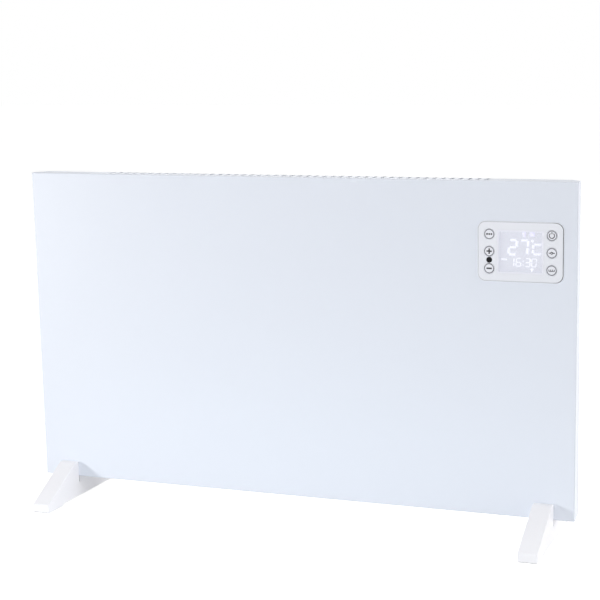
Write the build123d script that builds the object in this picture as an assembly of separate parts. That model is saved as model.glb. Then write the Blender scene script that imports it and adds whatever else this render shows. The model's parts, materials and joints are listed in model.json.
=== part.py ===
"""Panel convector heater on two feet, with a control plate in its front panel.

Sizes are in millimetres. X runs along the panel, to the right seen from the front. Y runs from the front
to the back, and Z is up. The origin is on the floor, in the middle of the feet.
"""
from build123d import *
import os
from math import cos, radians, sin

# ---------------------------------------------------------------- driving sizes
# Front panel: one folded sheet
PANEL_W = 800.0  # width of the panel
PANEL_H = 450.0  # height of the panel
PANEL_LIFT = 32.5  # floor to the lower edge of the panel
PANEL_SHEET = 1.2  # thickness of the front sheet
FOLD_R = 1.6  # outside radius of its folds
RETURN_D = 14.0  # depth of the side and lower returns
TOP_RETURN_D = 28.0  # depth of the upper return, which holds the outlet slots

# Rear casing: a pan of five pressed sheets, welded at their mitres, that nests inside the returns
CASING_SHEET = 1.0  # thickness of the rear sheet
NEST_GAP = 0.3  # play between the returns and the casing inside them
CASING_D = 80.0  # front face to the back of the casing
CASING_START_D = 3.0  # front face to the front edge of the casing's walls
SIDE_D_TOP = 21.0  # depth of the casing's side at its upper end
SIDE_D_BOTTOM = 31.0  # depth of the casing's side at its lower end
SIDE_FLANK = 1.0  # rise of the side flanks, depth over width
END_FLANK = 0.9  # rise of the upper and lower flanks, depth over height
CASING_BEND_R = 3.0  # outside radius of the bends between flanks and back
MITRE_RUN_ON = 12.0  # how far the cuts between the sheets run on past the ends of a mitre

# Air slots
SLOT_W = 5.0  # width of one slot
SLOT_PITCH = 12.0  # from one slot to the next
SLOT_MARGIN = 1.0  # how much wider the casing's slot is than the one above it
SLOT_END = 7.0  # end plate to the middle of the last slot
OUTLET_START_D = 8.0  # front face to the front end of an outlet slot
OUTLET_L = 17.0  # length of an outlet slot, front to back
INLET_START_D = 16.5  # front face to the front end of an inlet slot
INLET_L = 11.0  # length of an inlet slot, front to back
LOUVRE_L = 32.0  # length of a slot in the upper and lower flanks, along the flank

# Feet
FOOT_W = 27.0  # width of a foot
FOOT_INSET = 28.0  # edge of the panel to the outer side of a foot
FOOT_TOE = 89.0  # reach of the toe in front of the panel
FOOT_DEPTH = 232.0  # toe to heel
TOE_H = 12.5  # floor to the upper edge of the toe
HEEL_H = 12.5  # floor to the upper edge of the heel
ARM_GRIP = 22.0  # lower edge of the panel to the top of the arm in front of it
ARM_T = 8.0  # thickness of the arm at its top
ARM_SLIT_W = 2.0  # width of the relief slit behind the arm
ARM_SLIT_H = 9.0  # depth of that slit below the panel
ARCH_H = 3.2  # floor to the underside between toe and heel
FOOT_ROUND = 2.0  # rounding of the toe, the arm and the heel
FOOT_EDGE_R = 1.6  # rounding of the long edges
PAD_T = 0.8  # thickness of a rubber pad
PAD_L = 40.0  # length of the sole that a pad lies under
PAD_INSET = 1.0  # edge of the sole to the edge of the pad

# Screws
SCREW_R = 2.0  # radius of the feet's screws
SCREW_HEAD_R = 3.6
SCREW_HEAD_H = 2.0
SMALL_SCREW_R = 1.4  # radius of the small screws
SMALL_HEAD_R = 2.7
SMALL_HEAD_H = 1.6
SCREW_PLAY = 0.25  # radial play of a screw in a clearance hole
THREAD_PLAY = 0.05  # radial play of a screw in the hole that it grips
CASING_SCREW_COUNT = 5  # screws along the lower return, evenly between the feet
CASING_SCREW_D = 9.8  # front face to the axis of these screws
CASING_SCREW_L = 9.0
SCREW_REACH = 6.0  # how far a foot's screw reaches into the casing
BRACKET_WALL = 3.0  # thickness of the tapped channel that takes the feet's screws
BRACKET_H = 10.0

# Control plate, its window and its keys
PLATE_W = 115.0  # width of the plate
PLATE_H = 79.5  # height of the plate
PLATE_R = 11.0  # corner radius of the plate
PLATE_SIDE = 17.5  # side edge of the panel to the plate
PLATE_BELOW = 52.5  # upper edge of the panel to the plate
PLATE_PROUD = 1.2  # how far the plate stands in front of the panel
PLATE_RIM = 3.0  # overlap of the plate over its cut-out
PLATE_BACK_D = 2.0  # front face to the back of the plate
CUTOUT_PLAY = 0.3
WINDOW_W = 62.0
WINDOW_H = 57.0
WINDOW_R = 1.5
WINDOW_LEDGE = 1.5  # width of the ledge that the window lies on
WINDOW_T = 2.0
WINDOW_SUNK = 0.1  # how far the window lies below the plate's surface
WINDOW_PLAY = 0.1
KEY_R = 6.9
KEY_PLAY = 0.35
KEY_PROUD = 0.3  # how far a key stands in front of the plate
KEY_FLANGE_R = 7.6
KEY_FLANGE_T = 0.8
KEY_STEM_R = 1.6
KEY_TRAVEL = 0.8
KEY_COLUMN = 41.5  # middle of the plate to a column of keys
KEY_ROW = 22.6  # from one row of keys to the next
RECEIVER_R = 3.4
RECEIVER_LENS_R = 3.85  # radius of its lens, which lies on the plate
RECEIVER_PROUD = 0.2  # thickness of the lens
RECEIVER_TAIL = 1.5  # how far it reaches behind the plate
BOARD_T = 1.6
BOARD_D = 10.5  # front face to the front of the control board
TACT_W = 6.0
TACT_H = 3.5
TACT_PIN_R = 1.6
HOUSING_D = 20.0  # front face to the back of the control housing
HOUSING_WALL = 2.0
POST_R = 3.0
POST_INSET = 4.4  # edge of the plate's core to the middle of a screw post
CONTROL_SCREW_SHORT = 4.0  # back of the plate to the tip of a screw of the housing

# Heating chamber
BAY_W = 115.0  # side edge of the panel to an end plate of the chamber
END_PLATE_T = 1.0
END_PLATE_BELOW = 10.5  # control plate to the upper edge of an end plate
FIT_GAP = 0.2  # gap between inner sheets and the casing round them
FLANGE_W = 11.0  # width of an end plate's flange on the casing's back
FLANGE_ABOVE = 8.0  # lower edge of the casing's flat back to that flange
ELEMENT_ABOVE = 116.0  # bottom of the casing to the axis of the element
ELEMENT_D = 32.0  # front face to the axis of the element
ELEMENT_GAP = 23.0  # end plate to the end of the element's fins
ELEMENT_BOSS_R = 7.0
ELEMENT_ARM = 34.0  # axis to the tip of an arm
ELEMENT_ARM_T = 1.8
ELEMENT_ANGLE = 40.0  # arm to the vertical
FIN_SLOT_W = 4.0
FIN_SLOT_L = 19.0
FIN_PITCH = 12.0
ROD_R = 4.0
ROD_PLAY = 0.1
BUSH_R = 8.0
BUSH_FLANGE_R = 11.0
BUSH_FLANGE_T = 4.0
BUSH_L = 10.0
TERMINAL_R = 2.5
TERMINAL_L = 14.0
SHIELD_D = 62.0  # front face to the heat shield
SHIELD_T = 0.8
SHIELD_INSET_LOW = 17.0  # lower edge of the casing's flat back to the shield
SHIELD_INSET_HIGH = 23.0  # upper edge of the casing's flat back to the shield
CUTOUT_ABOVE = 65.0  # element axis to the thermal cut-out above it
CUTOUT_R = 8.0
CUTOUT_T = 9.0
CUTOUT_EAR_T = 1.0
CUTOUT_EAR_H = 10.0
CUTOUT_EAR_HALF = 12.8  # middle of the cut-out to the end of an ear
SENSOR_OUT = 24.0  # right end plate to the room sensor
SENSOR_FOOT = 10.0  # width of its holder
SENSOR_H = 12.0  # height of its holder
SENSOR_R = 2.5

# Power parts, on the outer side of the right end plate
POWER_BELOW = 15.0  # upper edge of the end plate to the power board
POWER_H = 120.0
POWER_START_D = 14.0
POWER_DEPTH = 56.0
SPACER_L = 8.0
SPACER_R = 3.0
SPACER_INSET = 5.0
RELAY_SIZE = (15.0, 28.0, 30.0)  # out from the board, front to back, height
RELAY_AT = (22.0, 70.0)  # the board's lower front corner to the relay: to the back, up
TRANSFORMER_SIZE = (24.0, 34.0, 32.0)
TRANSFORMER_AT = (6.0, 24.0)
CONNECTOR_SIZE = (10.0, 48.0, 10.0)
CONNECTOR_AT = (4.0, 3.0)
HEADER_SIZE = (6.0, 16.0, 8.0)
HEADER_AT = (4.0, POWER_H - HEADER_SIZE[2])
BLOCK_SIZE = (18.0, 30.0, 20.0)  # terminal block: out from the plate, front to back, height
BLOCK_ABOVE = 22.0  # element axis to the terminal block
BLOCK_START_D = 42.0
BLOCK_WELL_R = 3.0  # wells over the block's screws
BLOCK_WELL_L = 4.0
EARTH_BELOW = 40.0  # element axis to the earth stud
EARTH_D = 45.0
EARTH_R = 2.0
EARTH_L = 14.0
NUT_R = 4.0  # across the corners, from the middle
NUT_T = 3.2
WASHER_T = 1.0

# Back of the casing
BACK_PART_IN = 40.0  # right end plate to the middle of the mains switch and the gland
SWITCH_ABOVE = 60.0  # gland to the mains switch
SWITCH_W = 21.6
SWITCH_H = 28.2
SWITCH_FLANGE = 2.0
SWITCH_FLANGE_T = 1.6
SWITCH_BODY_L = 24.0
SWITCH_WALL = 2.2
SWITCH_PLAY = 0.3
BLADE_L = 8.0  # length of the switch's terminal blades
BLADE_W = 6.3
BLADE_T = 0.8
BLADE_PITCH = 8.0
ROCKER_HALF = 9.4  # pivot to the end of the rocker
ROCKER_RISE = 6.4  # pivot line to the raised end of the rocker
ROCKER_DIP = 4.6  # pivot line to the middle of the rocker
ROCKER_R = 4.5
ROCKER_ROUND = 0.8
ROCKER_SUNK = 3.6  # flange's surface to the pivot line
ROCKER_SIDE = 0.5  # gap between the rocker and the well, each side
ROCKER_END = 3.2  # gap between the level rocker and the well, each end
ROCKER_PIN_R = 1.5
ROCKER_TILT = 10.0  # degrees from level to either stop
PIVOT_PLAY = 0.05
GLAND_ABOVE = 17.0  # lower edge of the casing's flat back to the gland
GLAND_R = 8.0
GLAND_FLANGE_R = 11.0
GLAND_FLANGE_T = 3.0
GLAND_DOME_L = 9.0
GLAND_DOME_R = 6.4
GLAND_INSIDE_L = 9.0
GLAND_BORE_R = 3.8
GLAND_NUT_T = 5.0
WALL_FIX_W = 400.0  # between wall fixings, side to side
WALL_FIX_H = 250.0  # between wall fixings, up and down
WALL_NUT_R = 3.5
WALL_NUT_BORE_R = 2.5
WALL_NUT_FLANGE_R = 5.0
WALL_NUT_FLANGE_T = 0.8
WALL_NUT_L = 11.0

# Tilt switch, on the outer side of the left end plate
TILT_W = 22.0
TILT_DEPTH = 34.0
TILT_H = 42.0
TILT_ABOVE = 46.0  # element axis to the tilt switch
TILT_START_D = 29.0
TILT_WALL = 1.5
TILT_PIN_R = 1.5
TILT_ARM = 22.0
TILT_WEIGHT_R = 5.0
TILT_WEIGHT_L = 13.0
TILT_HUB_R = 3.4
TILT_HUB_L = 6.0
TILT_LEVER_W = 3.0
TILT_LEVER_T = 4.0

# Leads
LEAD_R = 1.4
LEAD_HOLE_R = 3.4
LEAD_ABOVE = 28.0  # bottom of the casing to the lead that crosses the chamber
LEAD_D = 22.0  # front face to that lead
LEAD_BEND = 12.0  # radius of a wide bend
LEAD_TIGHT = 3.2  # radius of a short bend at a terminal
LEAD_LOOP = 18.0  # tip of a terminal stud to the far side of the loop beside it
LEAD_RISE = 30.0  # height of the straight piece in that loop
LEAD_DROP = 22.0  # straight piece below the power board's connector
LEAD_SLACK = 12.0  # straight piece at each end of the display's lead
DISPLAY_LEAD_IN = 13.0  # middle of the plate to the display's lead

# ---------------------------------------------------------------- places worked out from them
FACE_Y = FOOT_TOE - FOOT_DEPTH / 2
PANEL_TOP = PANEL_LIFT + PANEL_H
CASING_INSET = PANEL_SHEET + NEST_GAP
CASING_HALF_W = PANEL_W / 2 - CASING_INSET
CASING_BOTTOM = PANEL_LIFT + CASING_INSET
CASING_TOP = PANEL_TOP - CASING_INSET
SIDE_TAPER = (SIDE_D_BOTTOM - SIDE_D_TOP) / (CASING_TOP - CASING_BOTTOM)
BACK_TOP = CASING_TOP - (CASING_D - TOP_RETURN_D) / END_FLANK  # upper edge of the flat back
BACK_BOTTOM = CASING_BOTTOM + (CASING_D - SIDE_D_BOTTOM) / END_FLANK  # its lower edge
PLATE_X = PANEL_W / 2 - PLATE_SIDE - PLATE_W / 2
PLATE_Z = PANEL_TOP - PLATE_BELOW - PLATE_H / 2
END_PLATE_X = PANEL_W / 2 - BAY_W
END_PLATE_TOP = PLATE_Z - PLATE_H / 2 - END_PLATE_BELOW
OUTER_X = END_PLATE_X + END_PLATE_T  # outer side of the right end plate
SLOT_COUNT = 2 * int((END_PLATE_X - SLOT_END) / SLOT_PITCH) + 1
SLOT_XS = [(i - (SLOT_COUNT - 1) / 2) * SLOT_PITCH for i in range(SLOT_COUNT)]
ARM_TOP = PANEL_LIFT + ARM_GRIP
ELEMENT_Z = CASING_BOTTOM + ELEMENT_ABOVE
ELEMENT_L = 2 * (END_PLATE_X - ELEMENT_GAP)
POWER_Z = END_PLATE_TOP - POWER_BELOW - POWER_H
BLOCK_Z = ELEMENT_Z + BLOCK_ABOVE
EARTH_Z = ELEMENT_Z - EARTH_BELOW
GLAND_Z = BACK_BOTTOM + GLAND_ABOVE
SWITCH_Z = GLAND_Z + SWITCH_ABOVE
BACK_PART_X = END_PLATE_X + BACK_PART_IN
TILT_Z = ELEMENT_Z + TILT_ABOVE
LEAD_Z = CASING_BOTTOM + LEAD_ABOVE
KEY_PLACES = {
    "key_mode": (PLATE_X - KEY_COLUMN, PLATE_Z + KEY_ROW),
    "key_plus": (PLATE_X - KEY_COLUMN, PLATE_Z),
    "key_minus": (PLATE_X - KEY_COLUMN, PLATE_Z - KEY_ROW),
    "key_power": (PLATE_X + KEY_COLUMN, PLATE_Z + KEY_ROW),
    "key_set": (PLATE_X + KEY_COLUMN, PLATE_Z),
    "key_clock": (PLATE_X + KEY_COLUMN, PLATE_Z - KEY_ROW),
}
RECEIVER_PLACE = (PLATE_X - KEY_COLUMN, PLATE_Z - KEY_ROW / 2)
FOOT_MIDDLE = PANEL_W / 2 - FOOT_INSET - FOOT_W / 2
FOOT_SCREW_DS = (RETURN_D * 0.6, (RETURN_D + SIDE_D_BOTTOM) / 2)
CASING_SCREW_PITCH = 2 * FOOT_MIDDLE / (CASING_SCREW_COUNT + 1)
CASING_SCREW_XS = [(i + 1) * CASING_SCREW_PITCH - FOOT_MIDDLE for i in range(CASING_SCREW_COUNT)]


def depth(d):
    """Y of a point that lies d behind the front face."""
    return FACE_Y + d


# ---------------------------------------------------------------- simple solids
def block(xs, ys, zs):
    """A box between two limits along each axis."""
    middle = Pos((xs[0] + xs[1]) / 2, (ys[0] + ys[1]) / 2, (zs[0] + zs[1]) / 2)
    return middle * Box(xs[1] - xs[0], ys[1] - ys[0], zs[1] - zs[0])


def bar(start, end, radius):
    """A round bar from one point to another."""
    axis = Vector(*end) - Vector(*start)
    return extrude(Plane(origin=start, z_dir=axis) * Circle(radius), amount=axis.length)


def bar_x(x0, x1, d, z, radius):
    return bar((x0, depth(d), z), (x1, depth(d), z), radius)


def bar_y(x, d0, d1, z, radius):
    return bar((x, depth(d0), z), (x, depth(d1), z), radius)


def bar_z(x, d, z0, z1, radius):
    return bar((x, depth(d), z0), (x, depth(d), z1), radius)


def slab(outline, d0, d1):
    """An outline drawn in X and Z, made solid between two depths behind the front face."""
    plane = Plane(origin=(0, depth(d1), 0), x_dir=(1, 0, 0), z_dir=(0, -1, 0))
    return extrude(plane * outline, amount=d1 - d0)


def profile(points, x0, x1, rounds=None):
    """A closed outline of (depth, z) points, made solid between two places along X."""
    outline = make_face(Polyline([(depth(d), z) for d, z in points], close=True))
    for radius, corners in (rounds or {}).items():
        picked = [v for v in outline.vertices() if any(close_to(v, d, z) for d, z in corners)]
        outline = fillet(picked, radius)
    plane = Plane(origin=(x0, 0, 0), x_dir=(0, 1, 0), z_dir=(1, 0, 0))
    return extrude(plane * outline, amount=x1 - x0)


def close_to(vertex, d, z):
    """True where an outline's corner is the one named by its depth and height."""
    return abs(vertex.X - depth(d)) < 0.01 and abs(vertex.Y - z) < 0.01


def screw(seat, way, radius, length, head_r, head_h):
    """A cross-head screw: the head's underside is on the seat, and the shank runs along way."""
    seat, way = Vector(*seat), Vector(*way)
    head = bar(seat - way * head_h, seat, head_r)
    crown = head.edges().filter_by(GeomType.CIRCLE).sort_by(lambda e: (e.center() - seat).length)[-1]
    head = fillet(crown, head_h * 0.45)
    top = Plane(origin=seat - way * head_h, z_dir=way)
    cross = Rectangle(head_r, head_r * 0.26) + Rectangle(head_r * 0.26, head_r)
    return head + bar(seat, seat + way * length, radius) - extrude(top * cross, amount=head_h * 0.5)


def group(solids):
    """Several separate solids of one kind, kept in one node."""
    return Compound(children=list(solids))


# ---------------------------------------------------------------- front panel
def plate_outline(inset):
    """The control plate's rounded outline, drawn in by inset."""
    shape = RectangleRounded(PLATE_W - 2 * inset, PLATE_H - 2 * inset, PLATE_R - inset)
    return Pos(PLATE_X, PLATE_Z) * shape


def front_panel():
    half = PANEL_W / 2
    tray = block((-half, half), (depth(0), depth(RETURN_D)), (PANEL_LIFT, PANEL_TOP))
    folds = [e for e in tray.edges() if e.center().Y < depth(0.01)]
    tray = fillet(folds, FOLD_R)
    inner_half = half - PANEL_SHEET
    low, high = PANEL_LIFT + PANEL_SHEET, PANEL_TOP - PANEL_SHEET
    tray -= block((-inner_half, inner_half), (depth(PANEL_SHEET), depth(RETURN_D + 1)), (low, high))
    step = TOP_RETURN_D - RETURN_D
    shelf = Polyline(
        [
            (-half, depth(RETURN_D)),
            (half, depth(RETURN_D)),
            (half - step, depth(TOP_RETURN_D)),
            (-half + step, depth(TOP_RETURN_D)),
        ],
        close=True,
    )
    tray += Pos(0, 0, high) * extrude(make_face(shelf), amount=PANEL_SHEET)
    slot_ys = (depth(OUTLET_START_D), depth(OUTLET_START_D + OUTLET_L))
    cuts = [block((x - SLOT_W / 2, x + SLOT_W / 2), slot_ys, (high - 1, PANEL_TOP + 1)) for x in SLOT_XS]
    cuts.append(slab(plate_outline(PLATE_RIM - CUTOUT_PLAY), -1, PANEL_SHEET + 1))
    hole_zs = (PANEL_LIFT - 1, low + 1)
    cuts += [bar_z(x, CASING_SCREW_D, *hole_zs, SMALL_SCREW_R + SCREW_PLAY) for x in CASING_SCREW_XS]
    cuts += [bar_z(x, d, *hole_zs, SCREW_R + SCREW_PLAY) for x, d in foot_screw_places() if d < RETURN_D]
    return tray - cuts


# ---------------------------------------------------------------- rear casing
def flank_planes():
    """The four sloping faces of the casing: each plane looks outwards."""
    planes = {}
    for name, side in (("left", -1), ("right", 1)):
        corner = (side * CASING_HALF_W, depth(SIDE_D_TOP), CASING_TOP)
        planes[name] = Plane(origin=corner, z_dir=(side * SIDE_FLANK, 1, SIDE_TAPER))
    upper = (0, depth(TOP_RETURN_D), CASING_TOP)
    planes["upper"] = Plane(origin=upper, x_dir=(1, 0, 0), z_dir=(0, 1, END_FLANK))
    lower = (0, depth(SIDE_D_BOTTOM), CASING_BOTTOM)
    planes["lower"] = Plane(origin=lower, x_dir=(1, 0, 0), z_dir=(0, 1, -END_FLANK))
    return planes


def casing_form(inset, start_d=CASING_START_D):
    """The form of the casing, moved inwards by inset on every face but its open front."""
    half = CASING_HALF_W - inset
    ys = (depth(start_d), depth(CASING_D - inset))
    form = block((-half, half), ys, (CASING_BOTTOM + inset, CASING_TOP - inset))
    for plane in flank_planes().values():
        form = split(form, bisect_by=plane.offset(-inset), keep=Keep.BOTTOM)
    back = form.faces().sort_by(Axis.Y)[-1]
    return fillet(back.edges(), CASING_BEND_R - min(inset, CASING_SHEET))


def flank_slots(name):
    """The row of slots in the upper or the lower flank, square to its sheet."""
    plane = flank_planes()[name]
    back_z = BACK_TOP if name == "upper" else BACK_BOTTOM
    middle = (plane.origin + Vector(0, depth(CASING_D), back_z)) / 2
    square = Plane(origin=middle, x_dir=(1, 0, 0), z_dir=plane.z_dir)
    return [square * Pos(x, 0, 0) * Box(SLOT_W, LOUVRE_L, 6 * CASING_SHEET) for x in SLOT_XS]


def casing_shell():
    """The whole pan with its slots and holes."""
    shell = casing_form(0) - casing_form(CASING_SHEET, CASING_START_D - 1)
    wide = SLOT_W / 2 + SLOT_MARGIN
    out_ys = (depth(OUTLET_START_D - SLOT_MARGIN), depth(OUTLET_START_D + OUTLET_L + SLOT_MARGIN))
    in_ys = (depth(INLET_START_D), depth(INLET_START_D + INLET_L))
    top_zs = (CASING_TOP - 3, CASING_TOP + 1)
    low_zs = (CASING_BOTTOM - 1, CASING_BOTTOM + 3)
    cuts = [block((x - wide, x + wide), out_ys, top_zs) for x in SLOT_XS]
    cuts += [block((x - SLOT_W / 2, x + SLOT_W / 2), in_ys, low_zs) for x in SLOT_XS]
    cuts += flank_slots("upper") + flank_slots("lower")
    cuts += [bar_z(x, CASING_SCREW_D, *low_zs, SMALL_SCREW_R + THREAD_PLAY) for x in CASING_SCREW_XS]
    cuts += [bar_z(x, d, *low_zs, SCREW_R + SCREW_PLAY) for x, d in foot_screw_places()]
    wall = (CASING_D - 3, CASING_D + 1)
    cuts += [bar_y(x, *wall, z, WALL_NUT_R + THREAD_PLAY) for x, z in wall_fix_places()]
    cuts.append(bar_y(BACK_PART_X, *wall, GLAND_Z, GLAND_R + SCREW_PLAY))
    opening = Rectangle(SWITCH_W + 2 * SWITCH_PLAY, SWITCH_H + 2 * SWITCH_PLAY)
    cuts.append(slab(Pos(BACK_PART_X, SWITCH_Z) * opening, *wall))
    return shell - cuts


def mitre(outer, inner):
    """The line in X and Z between the right flank and a neighbour, from outer to inner (depth, z), run on."""
    ends = []
    for d, z in (outer, inner):
        rise = d - SIDE_D_TOP - SIDE_TAPER * (CASING_TOP - z)
        ends.append(Vector(CASING_HALF_W - rise / SIDE_FLANK, z))
    way = (ends[1] - ends[0]).normalized() * MITRE_RUN_ON
    return ends[0] - way, ends[1] + way


def casing_sheets():
    """The pan as its five sheets: back, upper, lower, left and right."""
    (up_out, up_in) = mitre((TOP_RETURN_D, CASING_TOP), (CASING_D, BACK_TOP))
    (low_out, low_in) = mitre((SIDE_D_BOTTOM, CASING_BOTTOM), (CASING_D, BACK_BOTTOM))
    far = PANEL_W / 2
    side = [up_out, (far, up_out.Y), (far, low_out.Y), low_out, low_in, up_in]
    right = make_face(Polyline(*side, close=True))
    regions = {
        "casing_upper": make_face(Polyline(up_out, up_in, across(up_in), across(up_out), close=True)),
        "casing_lower": make_face(Polyline(low_out, low_in, across(low_in), across(low_out), close=True)),
        "casing_left": mirror(right, about=Plane.YZ),
        "casing_right": right,
    }
    shell = casing_shell()
    inner = CASING_D - CASING_SHEET
    cover = Pos(0, PANEL_LIFT + PANEL_H / 2) * Rectangle(PANEL_W, PANEL_H)
    sheets = {name: shell & slab(region, 0, inner) for name, region in regions.items()}
    return {"casing_back": shell & slab(cover, inner, CASING_D + 1), **sheets}


def across(point):
    """The same point on the left half."""
    return Vector(-point.X, point.Y)


def wall_fix_places():
    middle_z = (BACK_TOP + BACK_BOTTOM) / 2
    return [(sx * WALL_FIX_W / 2, middle_z + sz * WALL_FIX_H / 2) for sx in (-1, 1) for sz in (-1, 1)]


def wall_nuts():
    """Threaded rivet nuts that a wall bracket is screwed to."""
    nuts = []
    for x, z in wall_fix_places():
        nut = bar_y(x, CASING_D, CASING_D + WALL_NUT_FLANGE_T, z, WALL_NUT_FLANGE_R)
        nut += bar_y(x, CASING_D - WALL_NUT_L, CASING_D, z, WALL_NUT_R)
        nuts.append(nut - bar_y(x, 0, CASING_D + 2, z, WALL_NUT_BORE_R))
    return group(nuts)


def casing_screws():
    seats = [(x, depth(CASING_SCREW_D), PANEL_LIFT) for x in CASING_SCREW_XS]
    size = (SMALL_SCREW_R, CASING_SCREW_L, SMALL_HEAD_R, SMALL_HEAD_H)
    return group(screw(seat, (0, 0, 1), *size) for seat in seats)


# ---------------------------------------------------------------- feet
def foot_screw_places():
    return [(side * FOOT_MIDDLE, d) for side in (-1, 1) for d in FOOT_SCREW_DS]


def foot_profile():
    """The foot from the side, as (depth, z) corners in order."""
    heel = FOOT_DEPTH - FOOT_TOE
    seat_d = RETURN_D + NEST_GAP
    slit_z = PANEL_LIFT - ARM_SLIT_H
    return [
        (-FOOT_TOE, PAD_T),
        (-FOOT_TOE, TOE_H),
        (-ARM_T, ARM_TOP),
        (0, ARM_TOP),
        (0, slit_z),
        (ARM_SLIT_W, slit_z),
        (ARM_SLIT_W, PANEL_LIFT),
        (seat_d, PANEL_LIFT),
        (seat_d, CASING_BOTTOM),
        (SIDE_D_BOTTOM, CASING_BOTTOM),
        (heel, HEEL_H),
        (heel, PAD_T),
        (heel - PAD_L, PAD_T),
        (heel - PAD_L, ARCH_H),
        (PAD_L - FOOT_TOE, ARCH_H),
        (PAD_L - FOOT_TOE, PAD_T),
    ]


def foot(side):
    """One moulded foot: its arm is in front of the panel and its seat is under it."""
    middle = side * FOOT_MIDDLE
    heel = FOOT_DEPTH - FOOT_TOE
    x0, x1 = middle - FOOT_W / 2, middle + FOOT_W / 2
    corners = [(-FOOT_TOE, TOE_H), (-ARM_T, ARM_TOP), (heel, HEEL_H), (SIDE_D_BOTTOM, CASING_BOTTOM)]
    body = profile(foot_profile(), x0, x1, {FOOT_ROUND: corners})
    front = [e for e in side_edges(body, x0, x1) if e.center().Y < depth(-ARM_T / 2)]
    rear = [e for e in side_edges(body, x0, x1) if e.center().Y > depth(SIDE_D_BOTTOM)]
    soft = [e for e in front + rear if e.center().Z > ARCH_H]
    body = fillet(soft, FOOT_EDGE_R)
    cuts = []
    for d in FOOT_SCREW_DS:
        cuts.append(bar_z(middle, d, 0, head_seat_z(), SCREW_HEAD_R + 2 * SCREW_PLAY))
        cuts.append(bar_z(middle, d, 0, CASING_BOTTOM + 1, SCREW_R + SCREW_PLAY))
    return body - cuts


def side_edges(body, x0, x1):
    """The edges that lie wholly in one of the two side faces."""
    return [e for e in body.edges() if min(abs(e.center().X - x) for x in (x0, x1)) < 0.01]


def head_seat_z():
    """Height of the shoulder that a foot screw's head is drawn against."""
    return ARCH_H + (PANEL_LIFT - ARCH_H) * 0.4


def foot_pads(side):
    """Two rubber pads under one foot."""
    middle = side * FOOT_MIDDLE
    half = FOOT_W / 2 - PAD_INSET
    heel = FOOT_DEPTH - FOOT_TOE
    pads = []
    for d0 in (-FOOT_TOE, heel - PAD_L):
        ys = (depth(d0 + PAD_INSET), depth(d0 + PAD_L - PAD_INSET))
        pads.append(block((middle - half, middle + half), ys, (0, PAD_T)))
    return group(pads)


def foot_bracket(side):
    """A tapped steel channel on the casing's floor that takes the foot's screws."""
    middle = side * FOOT_MIDDLE
    half = FOOT_W / 2
    floor = CASING_BOTTOM + CASING_SHEET
    top, inner = floor + BRACKET_H, half - BRACKET_WALL
    ys = (depth(CASING_START_D + 1), depth(SIDE_D_BOTTOM - 2))
    channel = block((middle - half, middle + half), ys, (floor, top))
    trough_ys = (ys[0] - 1, ys[1] + 1)
    channel -= block((middle - inner, middle + inner), trough_ys, (floor + BRACKET_WALL, top + 1))
    return channel - [bar_z(middle, d, floor - 1, top, SCREW_R + THREAD_PLAY) for d in FOOT_SCREW_DS]


def foot_screws():
    length = CASING_BOTTOM + SCREW_REACH - head_seat_z()
    size = (SCREW_R, length, SCREW_HEAD_R, SCREW_HEAD_H)
    seats = [(x, depth(d), head_seat_z()) for x, d in foot_screw_places()]
    return group(screw(seat, (0, 0, 1), *size) for seat in seats)


# ---------------------------------------------------------------- control plate and what is behind it
def window_outline(grow):
    shape = RectangleRounded(WINDOW_W + 2 * grow, WINDOW_H + 2 * grow, WINDOW_R + max(grow, 0))
    return Pos(PLATE_X, PLATE_Z) * shape


def post_places():
    """Screw posts near the four corners of the plate's core."""
    dx = PLATE_W / 2 - PLATE_RIM - POST_INSET
    dz = PLATE_H / 2 - PLATE_RIM - POST_INSET
    return [(PLATE_X + sx * dx, PLATE_Z + sz * dz) for sx in (-1, 1) for sz in (-1, 1)]


def control_plate():
    front = slab(plate_outline(0), -PLATE_PROUD, 0)
    rim = [e for e in front.edges() if e.center().Y < depth(-PLATE_PROUD + 0.01)]
    plate = fillet(rim, PLATE_PROUD * 0.5) + slab(plate_outline(PLATE_RIM), 0, PLATE_BACK_D)
    ledge_d = -PLATE_PROUD + WINDOW_SUNK + WINDOW_T
    cuts = [slab(window_outline(WINDOW_PLAY), -PLATE_PROUD - 1, ledge_d)]
    cuts.append(slab(window_outline(-WINDOW_LEDGE), -PLATE_PROUD - 1, PLATE_BACK_D + 1))
    through = (-PLATE_PROUD - 1, PLATE_BACK_D + 1)
    cuts += [bar_y(x, *through, z, KEY_R + KEY_PLAY) for x, z in KEY_PLACES.values()]
    cuts.append(bar_y(RECEIVER_PLACE[0], *through, RECEIVER_PLACE[1], RECEIVER_R + THREAD_PLAY))
    plate -= cuts
    for x, z in post_places():
        plate += bar_y(x, PLATE_BACK_D, BOARD_D, z, POST_R)
        plate -= bar_y(x, PLATE_BACK_D, BOARD_D + 1, z, SMALL_SCREW_R + THREAD_PLAY)
    return plate


def display_window():
    start = -PLATE_PROUD + WINDOW_SUNK
    return slab(window_outline(0), start, start + WINDOW_T)


def display_module():
    """The lit display in its frame, between the plate and the control board."""
    return slab(window_outline(WINDOW_LEDGE), PLATE_BACK_D, BOARD_D)


def receiver_window():
    """The dark window over the remote control's receiver: a lens on the plate and a plug through it."""
    x, z = RECEIVER_PLACE
    lens = bar_y(x, -PLATE_PROUD - RECEIVER_PROUD, -PLATE_PROUD, z, RECEIVER_LENS_R)
    return lens + bar_y(x, -PLATE_PROUD, PLATE_BACK_D + RECEIVER_TAIL, z, RECEIVER_R)


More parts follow.
